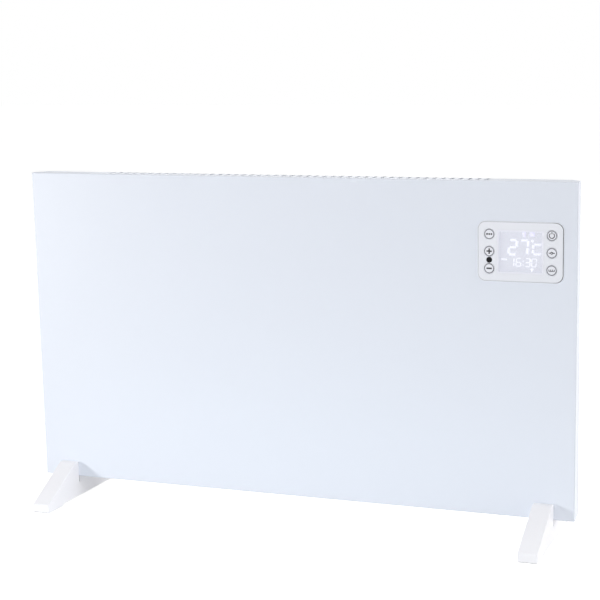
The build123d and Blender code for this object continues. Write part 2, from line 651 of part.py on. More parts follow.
def key(place):
    """A key cap with the flange that holds it in the plate and the stem that works its switch."""
    x, z = place
    flange_d = PLATE_BACK_D + KEY_PLAY
    cap = bar_y(x, -PLATE_PROUD - KEY_PROUD, flange_d, z, KEY_R)
    rim = [e for e in cap.edges() if e.center().Y < depth(-PLATE_PROUD)]
    cap = fillet(rim, KEY_PROUD)
    cap += bar_y(x, flange_d, flange_d + KEY_FLANGE_T, z, KEY_FLANGE_R)
    return cap + bar_y(x, flange_d, stem_end_d(), z, KEY_STEM_R)


def stem_end_d():
    """Depth of a key's stem end at rest, clear of its switch by the travel."""
    return BOARD_D - TACT_H - KEY_TRAVEL - KEY_PLAY


def control_board():
    """The control board with a small switch behind each key and the receiver."""
    inset = PLATE_RIM + 0.6
    board = slab(plate_outline(inset), BOARD_D, BOARD_D + BOARD_T)
    for x, z in KEY_PLACES.values():
        board += slab(Pos(x, z) * Rectangle(TACT_W, TACT_W), BOARD_D - TACT_H + 1, BOARD_D)
        board += bar_y(x, BOARD_D - TACT_H, BOARD_D - TACT_H + 1, z, TACT_PIN_R)
    eye = Pos(*RECEIVER_PLACE) * Rectangle(TACT_W, TACT_W * 0.8)
    board += slab(eye, PLATE_BACK_D + RECEIVER_TAIL + KEY_PLAY, BOARD_D)
    through = (BOARD_D - 1, BOARD_D + BOARD_T + 1)
    return board - [bar_y(x, *through, z, SMALL_SCREW_R + SCREW_PLAY) for x, z in post_places()]


def control_housing():
    """The box behind the panel: its rim bears on the sheet round the cut-out."""
    outer = slab(plate_outline(0), PANEL_SHEET, HOUSING_D)
    box = outer - slab(plate_outline(HOUSING_WALL), PANEL_SHEET - 1, HOUSING_D - HOUSING_WALL)
    for x, z in post_places():
        box += bar_y(x, BOARD_D + BOARD_T, HOUSING_D - HOUSING_WALL, z, POST_R)
    holes = [bar_y(x, BOARD_D, HOUSING_D + 1, z, SMALL_SCREW_R + SCREW_PLAY) for x, z in post_places()]
    low = PLATE_Z - PLATE_H / 2
    lead_exit = bar_z(*display_lead_place(), low - 1, low + HOUSING_WALL + 1, LEAD_R + 0.6)
    return box - holes - lead_exit


def control_screws():
    length = HOUSING_D - PLATE_BACK_D - CONTROL_SCREW_SHORT
    size = (SMALL_SCREW_R, length, SMALL_HEAD_R, SMALL_HEAD_H)
    return group(screw((x, depth(HOUSING_D), z), (0, -1, 0), *size) for x, z in post_places())


# ---------------------------------------------------------------- heating chamber
def end_plate(side):
    """A sheet across the casing that closes the chamber and carries one end of the element."""
    x0 = END_PLATE_X if side > 0 else -END_PLATE_X - END_PLATE_T
    front = depth(PANEL_SHEET + FIT_GAP)
    inside = casing_form(CASING_SHEET + FIT_GAP, PANEL_SHEET + FIT_GAP)
    floor = CASING_BOTTOM + CASING_SHEET
    sheet = block((x0, x0 + END_PLATE_T), (front, depth(CASING_D)), (floor, END_PLATE_TOP))
    flange_x = (x0, x0 + FLANGE_W) if side > 0 else (x0 + END_PLATE_T - FLANGE_W, x0 + END_PLATE_T)
    back = CASING_D - CASING_SHEET - FIT_GAP
    flange_low = BACK_BOTTOM + FLANGE_ABOVE
    sheet += block(flange_x, (depth(back - END_PLATE_T), depth(back)), (flange_low, END_PLATE_TOP))
    sheet &= inside
    cuts = [bar_x(x0 - 1, x0 + 2, ELEMENT_D, ELEMENT_Z, BUSH_R + THREAD_PLAY)]
    cuts.append(bar_x(x0 - 1, x0 + 2, LEAD_D, LEAD_Z, LEAD_HOLE_R))
    if side > 0:
        cuts.append(bar_x(x0 - 1, x0 + 2, EARTH_D, EARTH_Z, EARTH_R + THREAD_PLAY))
    return sheet - cuts


def element_profile():
    """Finned aluminium profile: four slotted arms on a boss that holds the rod."""
    count = int(ELEMENT_L / FIN_PITCH) - 1
    arm_l = ELEMENT_ARM - ELEMENT_BOSS_R / 2
    slot = Box(FIN_SLOT_W, FIN_SLOT_L, 3 * ELEMENT_ARM_T)
    slots = [Pos((i - (count - 1) / 2) * FIN_PITCH, 1, 0) * slot for i in range(count)]
    arm = Box(ELEMENT_L, arm_l, ELEMENT_ARM_T) - slots
    middle = Vector(0, depth(ELEMENT_D), ELEMENT_Z)
    body = bar_x(-ELEMENT_L / 2, ELEMENT_L / 2, ELEMENT_D, ELEMENT_Z, ELEMENT_BOSS_R)
    for turn in (ELEMENT_ANGLE, 180 - ELEMENT_ANGLE, 180 + ELEMENT_ANGLE, 360 - ELEMENT_ANGLE):
        way = Vector(0, sin(radians(turn)), cos(radians(turn)))
        start = middle + way * (ELEMENT_BOSS_R + arm_l) / 2
        body += Plane(origin=start, x_dir=(1, 0, 0), z_dir=Vector(1, 0, 0).cross(way)) * arm
    return body - bar_x(-ELEMENT_L, ELEMENT_L, ELEMENT_D, ELEMENT_Z, ROD_R + THREAD_PLAY)


def rod_half():
    """Middle of the heater to the end of the rod's sheath."""
    return OUTER_X + BUSH_L - BUSH_FLANGE_T


def element_rod():
    """The sheathed heating rod with a terminal stud at each end."""
    rod = bar_x(-rod_half(), rod_half(), ELEMENT_D, ELEMENT_Z, ROD_R)
    return rod + bar_x(-stud_x(), stud_x(), ELEMENT_D, ELEMENT_Z, TERMINAL_R)


def element_bush(side):
    """A ceramic bush: its flange is inside the chamber and its neck goes through the end plate."""
    inner = side * END_PLATE_X
    flange = bar_x(inner - side * BUSH_FLANGE_T, inner, ELEMENT_D, ELEMENT_Z, BUSH_FLANGE_R)
    neck = bar_x(inner, inner + side * (BUSH_L - BUSH_FLANGE_T), ELEMENT_D, ELEMENT_Z, BUSH_R)
    bore = bar_x(inner - side * BUSH_L, inner + side * BUSH_L, ELEMENT_D, ELEMENT_Z, ROD_R + ROD_PLAY)
    return flange + neck - bore


def heat_shield():
    """A sheet between the element and the casing's back, on two flanges."""
    half = END_PLATE_X - FIT_GAP
    back = CASING_D - CASING_SHEET - FIT_GAP
    low, high = BACK_BOTTOM + SHIELD_INSET_LOW, BACK_TOP - SHIELD_INSET_HIGH
    shape = [
        (SHIELD_D, low),
        (SHIELD_D, high),
        (back, high),
        (back, high - SHIELD_T),
        (SHIELD_D + SHIELD_T, high - SHIELD_T),
        (SHIELD_D + SHIELD_T, low + SHIELD_T),
        (back, low + SHIELD_T),
        (back, low),
    ]
    return profile(shape, -half, half)


def thermal_cutout():
    """The disc that breaks the circuit when the chamber is too hot, on its mounting ears."""
    z = ELEMENT_Z + CUTOUT_ABOVE
    ear_x = END_PLATE_X - CUTOUT_EAR_T
    disc = bar_x(END_PLATE_X - CUTOUT_T, ear_x, ELEMENT_D, z, CUTOUT_R)
    ys = (depth(ELEMENT_D - CUTOUT_EAR_HALF), depth(ELEMENT_D + CUTOUT_EAR_HALF))
    return disc + block((ear_x, END_PLATE_X), ys, (z - CUTOUT_EAR_H / 2, z + CUTOUT_EAR_H / 2))


def room_sensor():
    """A small bulb in its holder, by the inlet slots."""
    x, d, half = OUTER_X + SENSOR_OUT, INLET_START_D, SENSOR_FOOT / 2
    floor = CASING_BOTTOM + CASING_SHEET
    top = floor + SENSOR_H
    holder = block((x - half, x + half), (depth(d - half), depth(d + half)), (floor, top))
    return holder + bar_z(x, d, top, top + SENSOR_H, SENSOR_R)


# ---------------------------------------------------------------- power parts
def on_plate(size, d0, z0, stand=0.0):
    """A box that stands out from the right end plate by stand."""
    xs = (OUTER_X + stand, OUTER_X + stand + size[0])
    return block(xs, (depth(d0), depth(d0 + size[1])), (z0, z0 + size[2]))


def on_board(size, place):
    """A box on the outer side of the power board."""
    return on_plate(size, POWER_START_D + place[0], POWER_Z + place[1], SPACER_L + BOARD_T)


def power_board():
    """The board with the long connector at its foot and the small header at its head."""
    board = on_plate((BOARD_T, POWER_DEPTH, POWER_H), POWER_START_D, POWER_Z, SPACER_L)
    return board + on_board(CONNECTOR_SIZE, CONNECTOR_AT) + on_board(HEADER_SIZE, HEADER_AT)


def relay():
    return on_board(RELAY_SIZE, RELAY_AT)


def transformer():
    return on_board(TRANSFORMER_SIZE, TRANSFORMER_AT)


def board_spacers():
    ds = (POWER_START_D + SPACER_INSET, POWER_START_D + POWER_DEPTH - SPACER_INSET)
    zs = (POWER_Z + SPACER_INSET, POWER_Z + POWER_H - SPACER_INSET)
    return group(bar_x(OUTER_X, OUTER_X + SPACER_L, d, z, SPACER_R) for d in ds for z in zs)


def terminal_block():
    """Three-way mains terminal block with its screw heads sunk in the outer side."""
    body = on_plate(BLOCK_SIZE, BLOCK_START_D, BLOCK_Z)
    out = OUTER_X + BLOCK_SIZE[0]
    z = BLOCK_Z + BLOCK_SIZE[2] / 2
    for i in range(3):
        d = BLOCK_START_D + BLOCK_SIZE[1] * (i + 0.5) / 3
        body -= bar_x(out - BLOCK_WELL_L, out + 1, d, z, BLOCK_WELL_R)
    return body


def earth_stud():
    """Stud, washer and nut that bond the casing to earth."""
    head_x = END_PLATE_X - EARTH_R
    stud = bar_x(head_x, OUTER_X + EARTH_L, EARTH_D, EARTH_Z, EARTH_R)
    head = bar_x(head_x, END_PLATE_X, EARTH_D, EARTH_Z, EARTH_R * 1.8)
    washer = bar_x(OUTER_X, OUTER_X + WASHER_T, EARTH_D, EARTH_Z, NUT_R + 0.5)
    face = Plane(origin=(OUTER_X + WASHER_T, depth(EARTH_D), EARTH_Z), z_dir=(1, 0, 0))
    nut = extrude(face * RegularPolygon(NUT_R, 6), amount=NUT_T)
    bore = bar_x(OUTER_X - 1, OUTER_X + EARTH_L, EARTH_D, EARTH_Z, EARTH_R + THREAD_PLAY)
    return group([stud + head, nut - bore, washer - bore])


# ---------------------------------------------------------------- back of the casing
def pivot_d():
    """Depth of the rocker's pivot line."""
    return CASING_D + SWITCH_FLANGE_T - ROCKER_SUNK


def switch_housing():
    """The mains switch's body: its flange is on the casing's back and its blades are inside."""
    at = Pos(BACK_PART_X, SWITCH_Z)
    flange = Rectangle(SWITCH_W + 2 * SWITCH_FLANGE, SWITCH_H + 2 * SWITCH_FLANGE)
    body = slab(at * flange, CASING_D, CASING_D + SWITCH_FLANGE_T)
    body += slab(at * Rectangle(SWITCH_W, SWITCH_H), CASING_D - SWITCH_BODY_L, CASING_D)
    well = Rectangle(SWITCH_W - 2 * SWITCH_WALL, 2 * (ROCKER_HALF + ROCKER_END))
    body -= slab(at * well, pivot_d() - ROCKER_R - 2, CASING_D + SWITCH_FLANGE_T + 1)
    reach = SWITCH_W / 2 - ROCKER_SIDE
    body -= bar_x(BACK_PART_X - reach, BACK_PART_X + reach, pivot_d(), SWITCH_Z, ROCKER_PIN_R + PIVOT_PLAY)
    for up in (-BLADE_PITCH, 0, BLADE_PITCH):
        blade = Pos(BACK_PART_X, SWITCH_Z + up) * Rectangle(BLADE_W, BLADE_T)
        body += slab(blade, CASING_D - SWITCH_BODY_L - BLADE_L, CASING_D - SWITCH_BODY_L)
    return body


def switch_rocker():
    """The rocker, tilted to its on stop."""
    half_w = SWITCH_W / 2 - SWITCH_WALL - ROCKER_SIDE
    ends = [(0, -ROCKER_HALF), (ROCKER_RISE, -ROCKER_HALF), (ROCKER_DIP, 0), (ROCKER_RISE, ROCKER_HALF)]
    corners = [(pivot_d() + out, SWITCH_Z + up) for out, up in ends + [(0, ROCKER_HALF)]]
    x0, x1 = BACK_PART_X - half_w, BACK_PART_X + half_w
    cap = profile(corners, x0, x1, {ROCKER_ROUND: [corners[1], corners[3]]})
    cap += bar_x(x0, x1, pivot_d(), SWITCH_Z, ROCKER_R)
    reach = SWITCH_W / 2 - 2 * ROCKER_SIDE
    cap += bar_x(BACK_PART_X - reach, BACK_PART_X + reach, pivot_d(), SWITCH_Z, ROCKER_PIN_R)
    axis = Axis((BACK_PART_X, depth(pivot_d()), SWITCH_Z), (1, 0, 0))
    return cap.rotate(axis, ROCKER_TILT)


def cable_gland():
    """The bushing that a mains cord enters by: flange and dome outside, threaded neck inside."""
    x, z = BACK_PART_X, GLAND_Z
    body = bar_y(x, CASING_D, CASING_D + GLAND_FLANGE_T, z, GLAND_FLANGE_R)
    start = Plane(origin=(x, depth(CASING_D + GLAND_FLANGE_T), z), z_dir=(0, 1, 0))
    rings = [start * Circle(GLAND_R), start.offset(GLAND_DOME_L) * Circle(GLAND_DOME_R)]
    body += loft(rings)
    body += bar_y(x, CASING_D - GLAND_INSIDE_L, CASING_D, z, GLAND_R)
    end = CASING_D + GLAND_FLANGE_T + GLAND_DOME_L
    return body - bar_y(x, CASING_D - GLAND_INSIDE_L - 1, end + 1, z, GLAND_BORE_R)


def gland_nut():
    inner = CASING_D - CASING_SHEET
    face = Plane(origin=(BACK_PART_X, depth(inner - GLAND_NUT_T), GLAND_Z), z_dir=(0, 1, 0))
    nut = extrude(face * RegularPolygon(GLAND_FLANGE_R + 1, 6), amount=GLAND_NUT_T)
    return nut - bar_y(BACK_PART_X, 0, CASING_D, GLAND_Z, GLAND_R + THREAD_PLAY)


# ---------------------------------------------------------------- tilt switch
def tilt_pivot():
    """Depth and height of the pin that the weight hangs on."""
    return TILT_START_D + TILT_DEPTH / 2, TILT_Z + TILT_H - TILT_WALL - TILT_HUB_R - 2


def tilt_switch_housing():
    """A box on the left end plate, open on its outer side."""
    ys = (depth(TILT_START_D), depth(TILT_START_D + TILT_DEPTH))
    body = block((-OUTER_X - TILT_W, -OUTER_X), ys, (TILT_Z, TILT_Z + TILT_H))
    inner_ys = (ys[0] + TILT_WALL, ys[1] - TILT_WALL)
    inner_zs = (TILT_Z + TILT_WALL, TILT_Z + TILT_H - TILT_WALL)
    body -= block((-OUTER_X - TILT_W - 1, -OUTER_X - TILT_WALL), inner_ys, inner_zs)
    return body - bar_x(-OUTER_X - TILT_W, -OUTER_X - 0.5, *tilt_pivot(), TILT_PIN_R + THREAD_PLAY)


def tilt_switch_cover():
    ys = (depth(TILT_START_D), depth(TILT_START_D + TILT_DEPTH))
    outer = -OUTER_X - TILT_W
    lid = block((outer - TILT_WALL, outer), ys, (TILT_Z, TILT_Z + TILT_H))
    return lid - bar_x(outer - 1, outer + 1, *tilt_pivot(), TILT_PIN_R + THREAD_PLAY)


def tilt_switch_pin():
    return bar_x(-OUTER_X - TILT_W - 0.8, -OUTER_X - 0.6, *tilt_pivot(), TILT_PIN_R)


def tilt_switch_weight():
    """The weight hangs from the pin and swings as the heater tips."""
    d, z = tilt_pivot()
    middle = -OUTER_X - TILT_W / 2

    def span(width):
        return middle - width / 2, middle + width / 2

    hub = bar_x(*span(TILT_HUB_L), d, z, TILT_HUB_R)
    arm_ys = (depth(d - TILT_LEVER_T / 2), depth(d + TILT_LEVER_T / 2))
    arm = block(span(TILT_LEVER_W), arm_ys, (z - TILT_ARM, z))
    bob = bar_x(*span(TILT_WEIGHT_L), d, z - TILT_ARM, TILT_WEIGHT_R)
    return hub + arm + bob - bar_x(*span(TILT_WEIGHT_L), d, z, TILT_PIN_R + PIVOT_PLAY)


# ---------------------------------------------------------------- leads
def lead(points, bends):
    """An insulated lead through (x, depth, z) points, with one bend radius for each inner point."""
    path = FilletPolyline(*[(x, depth(d), z) for x, d, z in points], radius=bends)
    return sweep(Plane(origin=path @ 0, z_dir=path % 0) * Circle(LEAD_R), path=path)


def plug_x():
    """Middle of the power board's connectors along X."""
    return OUTER_X + SPACER_L + BOARD_T + CONNECTOR_SIZE[0] / 2


def stud_x():
    """Middle of the heater to the tip of a terminal stud."""
    return rod_half() + TERMINAL_L


def element_lead_right():
    """From the right terminal stud up to the power board."""
    out = stud_x() + LEAD_LOOP
    plug_z = POWER_Z + CONNECTOR_AT[1]
    points = [
        (stud_x(), ELEMENT_D, ELEMENT_Z),
        (out, ELEMENT_D, ELEMENT_Z),
        (out, ELEMENT_D, ELEMENT_Z + LEAD_RISE),
        (plug_x(), ELEMENT_D, plug_z - LEAD_DROP),
        (plug_x(), ELEMENT_D, plug_z),
    ]
    return lead(points, [LEAD_BEND * 0.7] * 3)


def element_lead_left():
    """From the power board down, along the floor of the chamber and up to the left terminal stud."""
    out = stud_x() + LEAD_LOOP
    points = [
        (plug_x(), LEAD_D, POWER_Z + CONNECTOR_AT[1]),
        (plug_x(), LEAD_D, LEAD_Z),
        (-out, LEAD_D, LEAD_Z),
        (-out, ELEMENT_D, ELEMENT_Z),
        (-stud_x(), ELEMENT_D, ELEMENT_Z),
    ]
    return lead(points, [LEAD_BEND] * 3)


def switch_leads():
    """From two of the mains switch's blades to the terminal block."""
    blade_d = CASING_D - SWITCH_BODY_L - BLADE_L
    leads = []
    for i, up in enumerate((-BLADE_PITCH, 0)):
        x = OUTER_X + BLOCK_SIZE[0] * (0.5 - 0.22 * i)
        z = BLOCK_Z + BLOCK_SIZE[2] * (0.25 + 0.5 * i)
        points = [
            (BACK_PART_X, blade_d, SWITCH_Z + up),
            (BACK_PART_X, blade_d - 2.5 * LEAD_TIGHT, SWITCH_Z + up),
            (x, BLOCK_START_D - 1.5 * LEAD_TIGHT, z),
            (x, BLOCK_START_D, z),
        ]
        leads.append(lead(points, [LEAD_TIGHT] * 2))
    return group(leads)


def display_lead_place():
    """X and depth at which the display's lead leaves the control housing."""
    return PLATE_X - DISPLAY_LEAD_IN, BOARD_D + BOARD_T + LEAD_R + FIT_GAP / 2


def display_lead():
    """From the back of the control board down to the header of the power board."""
    x, d = display_lead_place()
    low = PLATE_Z - PLATE_H / 2
    header_x = OUTER_X + SPACER_L + BOARD_T + HEADER_SIZE[0] / 2
    header_d = POWER_START_D + HEADER_AT[0] + HEADER_SIZE[1] / 2
    top = POWER_Z + HEADER_AT[1] + HEADER_SIZE[2]
    points = [
        (x, d, low + LEAD_SLACK),
        (x, d, low - 0.75 * LEAD_SLACK),
        (header_x, header_d, top + LEAD_SLACK),
        (header_x, header_d, top),
    ]
    return lead(points, [LEAD_BEND * 0.7, LEAD_BEND * 0.4])


# ---------------------------------------------------------------- the whole heater
def heater():
    parts = {
        "front_panel": front_panel(),
        **casing_sheets(),
        "wall_nuts": wall_nuts(),
        "casing_screws": casing_screws(),
        "foot_left": foot(-1),
        "foot_right": foot(1),
        "foot_pads_left": foot_pads(-1),
        "foot_pads_right": foot_pads(1),
        "foot_bracket_left": foot_bracket(-1),
        "foot_bracket_right": foot_bracket(1),
        "foot_screws": foot_screws(),
        "control_plate": control_plate(),
        "display_window": display_window(),
        "display_module": display_module(),
        "receiver_window": receiver_window(),
        "control_board": control_board(),
        "control_housing": control_housing(),
        "control_screws": control_screws(),
        "end_plate_left": end_plate(-1),
        "end_plate_right": end_plate(1),
        "element_profile": element_profile(),
        "element_rod": element_rod(),
        "element_bush_left": element_bush(-1),
        "element_bush_right": element_bush(1),
        "heat_shield": heat_shield(),
        "thermal_cutout": thermal_cutout(),
        "room_sensor": room_sensor(),
        "power_board": power_board(),
        "relay": relay(),
        "transformer": transformer(),
        "board_spacers": board_spacers(),
        "terminal_block": terminal_block(),
        "earth_stud": earth_stud(),
        "switch_housing": switch_housing(),
        "switch_rocker": switch_rocker(),
        "cable_gland": cable_gland(),
        "gland_nut": gland_nut(),
        "tilt_switch_housing": tilt_switch_housing(),
        "tilt_switch_cover": tilt_switch_cover(),
        "tilt_switch_pin": tilt_switch_pin(),
        "tilt_switch_weight": tilt_switch_weight(),
        "element_lead_left": element_lead_left(),
        "element_lead_right": element_lead_right(),
        "switch_leads": switch_leads(),
        "display_lead": display_lead(),
    }
    for name, place in KEY_PLACES.items():
        parts[name] = key(place)
    return parts


os.makedirs("parts", exist_ok=True)
for name, shape in heater().items():
    export_step(shape, f"parts/{name}.step")
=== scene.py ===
# %% [markdown]
# # A panel convector heater on two feet
# The solids of the heater come from its CAD model and stay as they are. This lesson gives them
# their finishes, prints the symbols on the keys, lights the display, and builds the light and the
# camera. Lengths are in metres, and the points of a drawing in millimetres. X runs along the panel,
# Y from the front to the back, and Z is up.

# %% Load the solids
import json
import math

import bpy
from mathutils import Matrix, Vector


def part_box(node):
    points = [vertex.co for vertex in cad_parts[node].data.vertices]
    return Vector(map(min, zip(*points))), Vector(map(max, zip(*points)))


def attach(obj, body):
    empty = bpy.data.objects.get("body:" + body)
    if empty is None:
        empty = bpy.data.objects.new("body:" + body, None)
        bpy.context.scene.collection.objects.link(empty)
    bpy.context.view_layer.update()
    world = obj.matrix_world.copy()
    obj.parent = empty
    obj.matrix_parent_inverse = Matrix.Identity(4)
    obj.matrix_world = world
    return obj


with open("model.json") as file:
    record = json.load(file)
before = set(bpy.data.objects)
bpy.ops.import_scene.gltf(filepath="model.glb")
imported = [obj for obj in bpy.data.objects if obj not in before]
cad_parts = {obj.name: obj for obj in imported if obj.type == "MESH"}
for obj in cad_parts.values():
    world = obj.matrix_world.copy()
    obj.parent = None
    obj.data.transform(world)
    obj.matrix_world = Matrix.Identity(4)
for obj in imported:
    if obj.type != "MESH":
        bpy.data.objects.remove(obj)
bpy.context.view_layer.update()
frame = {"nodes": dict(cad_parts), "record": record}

MM = 0.001

# %% [markdown]
# ## Camera
# The camera looks a little down on the heater, from the right of its middle. Its place and its turn
# were found from the corners of the panel and of the feet. A camera's own axes are right, up and
# backwards, so these three directions are the columns of its matrix.

# %% Camera
RIGHT = Vector((0.93278, 0.360019, -0.017535))
AHEAD = Vector((-0.356638, 0.914781, -0.189697))
EYE = Vector((0.8292, -2.0418, 0.6769))
FOCAL_PIXELS = 1601.6
FRAME_PIXELS = 600.0  # width and height of the picture
MIDDLE_PIXEL = (320.0, 340.0)  # the pixel that the camera looks straight at
SENSOR = 36.0  # width of the camera's sensor, in millimetres


def camera_at(eye, right, ahead):
    """The camera that looks ahead from the eye, with its picture level along right."""
    data = bpy.data.cameras.new("camera")
    data.sensor_width = SENSOR
    data.lens = SENSOR * FOCAL_PIXELS / FRAME_PIXELS
    data.shift_x = (FRAME_PIXELS / 2 - MIDDLE_PIXEL[0]) / FRAME_PIXELS
    data.shift_y = (MIDDLE_PIXEL[1] - FRAME_PIXELS / 2) / FRAME_PIXELS
    made = bpy.data.objects.new("camera", data)
    ahead, right = ahead.normalized(), right.normalized()
    turn = Matrix((right, right.cross(ahead), -ahead)).transposed()
    made.matrix_world = Matrix.Translation(eye) @ turn.to_4x4()
    bpy.context.scene.collection.objects.link(made)
    return made


camera = camera_at(EYE, RIGHT, AHEAD)
bpy.context.scene.camera = camera
print("lens", round(camera.data.lens, 2), "mm, shift", camera.data.shift_x, camera.data.shift_y)

# %% [markdown]
# ## A small language for finishes
# A finish is a web of nodes, and a long web is hard to read in code. So one small class holds an
# output socket: adding or multiplying two of them adds the Math node that does it. A second class
# holds the web and has one method that adds any other node.

# %% Sums on sockets
class Wire:
    """One output socket of a web. Python's operators on it add Math nodes."""

    def __init__(self, web, socket):
        self.web = web
        self.socket = socket

    def maths(self, operation, *values):
        """Adds a Math node that works on some values or wires."""
        sockets = dict(enumerate(values))
        return self.web.node("ShaderNodeMath", {"operation": operation}, sockets)

    def __add__(self, other):
        return self.maths("ADD", self, other)

    def __sub__(self, other):
        return self.maths("SUBTRACT", self, other)

    def __truediv__(self, other):
        return self.maths("DIVIDE", self, other)

    def __mul__(self, other):
        return self.maths("MULTIPLY", self, other)

    def __gt__(self, other):
        return self.maths("GREATER_THAN", self, other)

    def __lt__(self, other):
        return self.maths("LESS_THAN", self, other)

    def over(self, other):
        """The larger of two."""
        return self.maths("MAXIMUM", self, other)

    def __abs__(self):
        return self.maths("ABSOLUTE", self)

    __radd__ = __add__


print("Wire:", Wire.__doc__)

# %% Colours and numbers
BLACK, WHITE = (0.0, 0.0, 0.0, 1.0), (1.0, 1.0, 1.0, 1.0)


def linear(red, green, blue):
    """A colour as a screen shows it, 0 to 255, as the linear colour that a shader takes."""
    levels = [c / 255 for c in (red, green, blue)]
    return [c / 12.92 if c <= 0.04045 else ((c + 0.055) / 1.055) ** 2.4 for c in levels] + [1.0]


def part_of(colour, share):
    """A share of a linear colour: the same hue, but darker."""
    return [c * share for c in colour[:3]] + [1.0]


def around(middle, noise, spread):
    """A number that a noise moves to both sides of a middle, over a spread from end to end."""
    return middle + (noise - 0.5) * spread


print("half grey on a screen is", round(linear(128, 128, 128)[0], 3), "of white in light")


# %% Webs of nodes
class Web:
    """A web of shader nodes that is being made."""

    def __init__(self, tree):
        self.tree = tree

    def node(self, kind, settings=None, sockets=None, output=0):
        """Adds a node: first its settings, then the values or wires of its sockets."""
        made = self.tree.nodes.new(kind)
        for name, value in (settings or {}).items():
            setattr(made, name, value)
        for name, value in (sockets or {}).items():
            self.give(made.inputs[name], value)
        return Wire(self, made.outputs[output])

    def give(self, socket, value):
        """Links a wire to a socket, or sets the socket to a value."""
        if isinstance(value, Wire):
            self.tree.links.new(value.socket, socket)
        else:
            socket.default_value = value

    def white_to_look_at(self):
        """1 for a ray from the camera, a gloss or a pane, and 0 for one that carries light."""
        rays = ("Is Camera Ray", "Is Glossy Ray", "Is Transmission Ray")
        seen, glossy, through = (self.node("ShaderNodeLightPath", output=ray) for ray in rays)
        return seen.over(glossy).over(through)


print("Web:", Web.__doc__)

# %% Finishes
class Finish(Web):
    """A material that is being made."""

    def __init__(self, name):
        self.material = bpy.data.materials.new(name)
        self.material.use_nodes = True
        super().__init__(self.material.node_tree)
        self.principled = self.tree.nodes["Principled BSDF"]

    def shade(self, **values):
        """Sets sockets of the main shader, named with _ for a space."""
        for name, value in values.items():
            self.give(self.principled.inputs[name.replace("_", " ")], value)
        return self.material

    def place(self):
        """Where a point is on the object."""
        return self.node("ShaderNodeTexCoord", output="Object")

    def axis(self, which):
        """One coordinate of a point on the object."""
        return self.node("ShaderNodeSeparateXYZ", {}, {0: self.place()}, output=which)

    def noise(self, scale, detail=2.0, stretch=(1.0, 1.0, 1.0)):
        """Cloudy numbers between 0 and 1. Scale is how many clouds there are to the metre."""
        mapped = self.node("ShaderNodeMapping", {}, {"Vector": self.place(), "Scale": stretch})
        sockets = {"Vector": mapped, "Scale": scale, "Detail": detail}
        return self.node("ShaderNodeTexNoise", {}, sockets)

    def blend(self, share, first, second):
        """A colour between two others. Sockets 6 and 7 and output 2 of a Mix node are colours."""
        sockets = {0: share, 6: first, 7: second}
        return self.node("ShaderNodeMix", {"data_type": "RGBA"}, sockets, output=2)

    def bump(self, height, distance):
        """A surface pressed in and out by a height between 0 and 1, over a distance."""
        return self.node("ShaderNodeBump", {}, {"Height": height, "Distance": distance})


print("what a finish can do", [name for name in vars(Finish) if name[0] != "_"])

# %% [markdown]
# ## Powder coat
# The panel and the casing are steel with a baked powder coat. Such a coat isn't a flat colour: it
# lies in shallow swells a few millimetres across, which makers call orange peel, and it has a fine
# grain in it. Two noises of different sizes give both, as a bump and as a small change in gloss. A
# texture picture could do it too, but it would need unwrapping, while a noise on the object's own
# coordinates has no seams. Painted shade makes the coat a little deeper towards the top, with a
# random tone in it, and darker still on the upper return, where the warm air comes out. The
# rounded folds of the front panel get painted shade too.

# %% Where the coat carries painted shade
FOLD_REACH = 0.0011  # from the rim of the panel to where its folds end
FOLD_DEPTH = 0.0016  # and from its face
RETURN_SKIN = 0.0006  # below the panel's top, where only the upper return is
RETURN_START = 0.0012  # from the panel's face to where the upper return is flat


def on_folds(coat):
    """1 on the rounded folds round the front panel, which get painted shade, or else 0."""
    low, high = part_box("front_panel")
    across, along, up = (coat.axis(i) for i in range(3))
    side = abs(across) > high[0] - FOLD_REACH
    ends = abs(up - (low[2] + high[2]) / 2) > (high[2] - low[2]) / 2 - FOLD_REACH
    return (side + ends) * (along < low[1] + FOLD_DEPTH)


def on_outlet(coat):
    """1 on the flat upper return round its slots, which gets painted shade, or else 0."""
    low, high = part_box("front_panel")
    return (coat.axis(2) > high[2] - RETURN_SKIN) * (coat.axis(1) > low[1] + RETURN_START)


print("folds reach", FOLD_REACH / MM, "mm in and", FOLD_DEPTH / MM, "mm back")

# %% Powder coat
PEEL_SIZE, GRAIN_SIZE, TONE_SIZE = 260.0, 2400.0, 3.0  # clouds to the metre
PEEL_SHARE, GRAIN_SHARE = 0.8, 0.2  # of the height of the bump
SHADE_BY_HEIGHT, TONE_BY_CHANCE = 0.8, 0.2  # shares of the painted shade by height and of the random tone
TOP_SHADE_AND_TONE, FOLD_SHADE, RETURN_SHADE = 0.92, 0.86, 0.78  # shares of the coat's colour left in painted shade
COAT_SPREAD = 0.10  # of the roughness


def powder_coat(name, colour, gloss, swell, folded=False):
    """Baked powder coat: gloss is its roughness, and swell the height of its orange peel."""
    coat = Finish(name)
    peel = coat.noise(PEEL_SIZE, 2.0)
    grain = coat.noise(GRAIN_SIZE, 1.0)
    height = coat.axis(2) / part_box("front_panel")[1][2]
    # painted shade: the coat is darker towards the top, with a random tone mixed in
    shade_and_tone = height * SHADE_BY_HEIGHT + coat.noise(TONE_SIZE, 1.0) * TONE_BY_CHANCE
    shade = coat.blend(shade_and_tone, colour, part_of(colour, TOP_SHADE_AND_TONE))
    if folded:
        # painted shade on the rounded folds
        shade = coat.blend(on_folds(coat), shade, part_of(colour, FOLD_SHADE))
        # painted shade on the upper return
        shade = coat.blend(on_outlet(coat), shade, part_of(colour, RETURN_SHADE))
    return coat.shade(
        Base_Color=shade,
        Roughness=around(gloss, grain, COAT_SPREAD),
        Specular_IOR_Level=0.5,
        Normal=coat.bump(peel * PEEL_SHARE + grain * GRAIN_SHARE, swell),
    )


panel_paint = powder_coat("panel paint", linear(236, 241, 251), 0.36, 0.00003, folded=True)
casing_paint = powder_coat("casing paint", linear(232, 234, 241), 0.46, 0.00006)
print("powder coats", panel_paint.name, casing_paint.name)

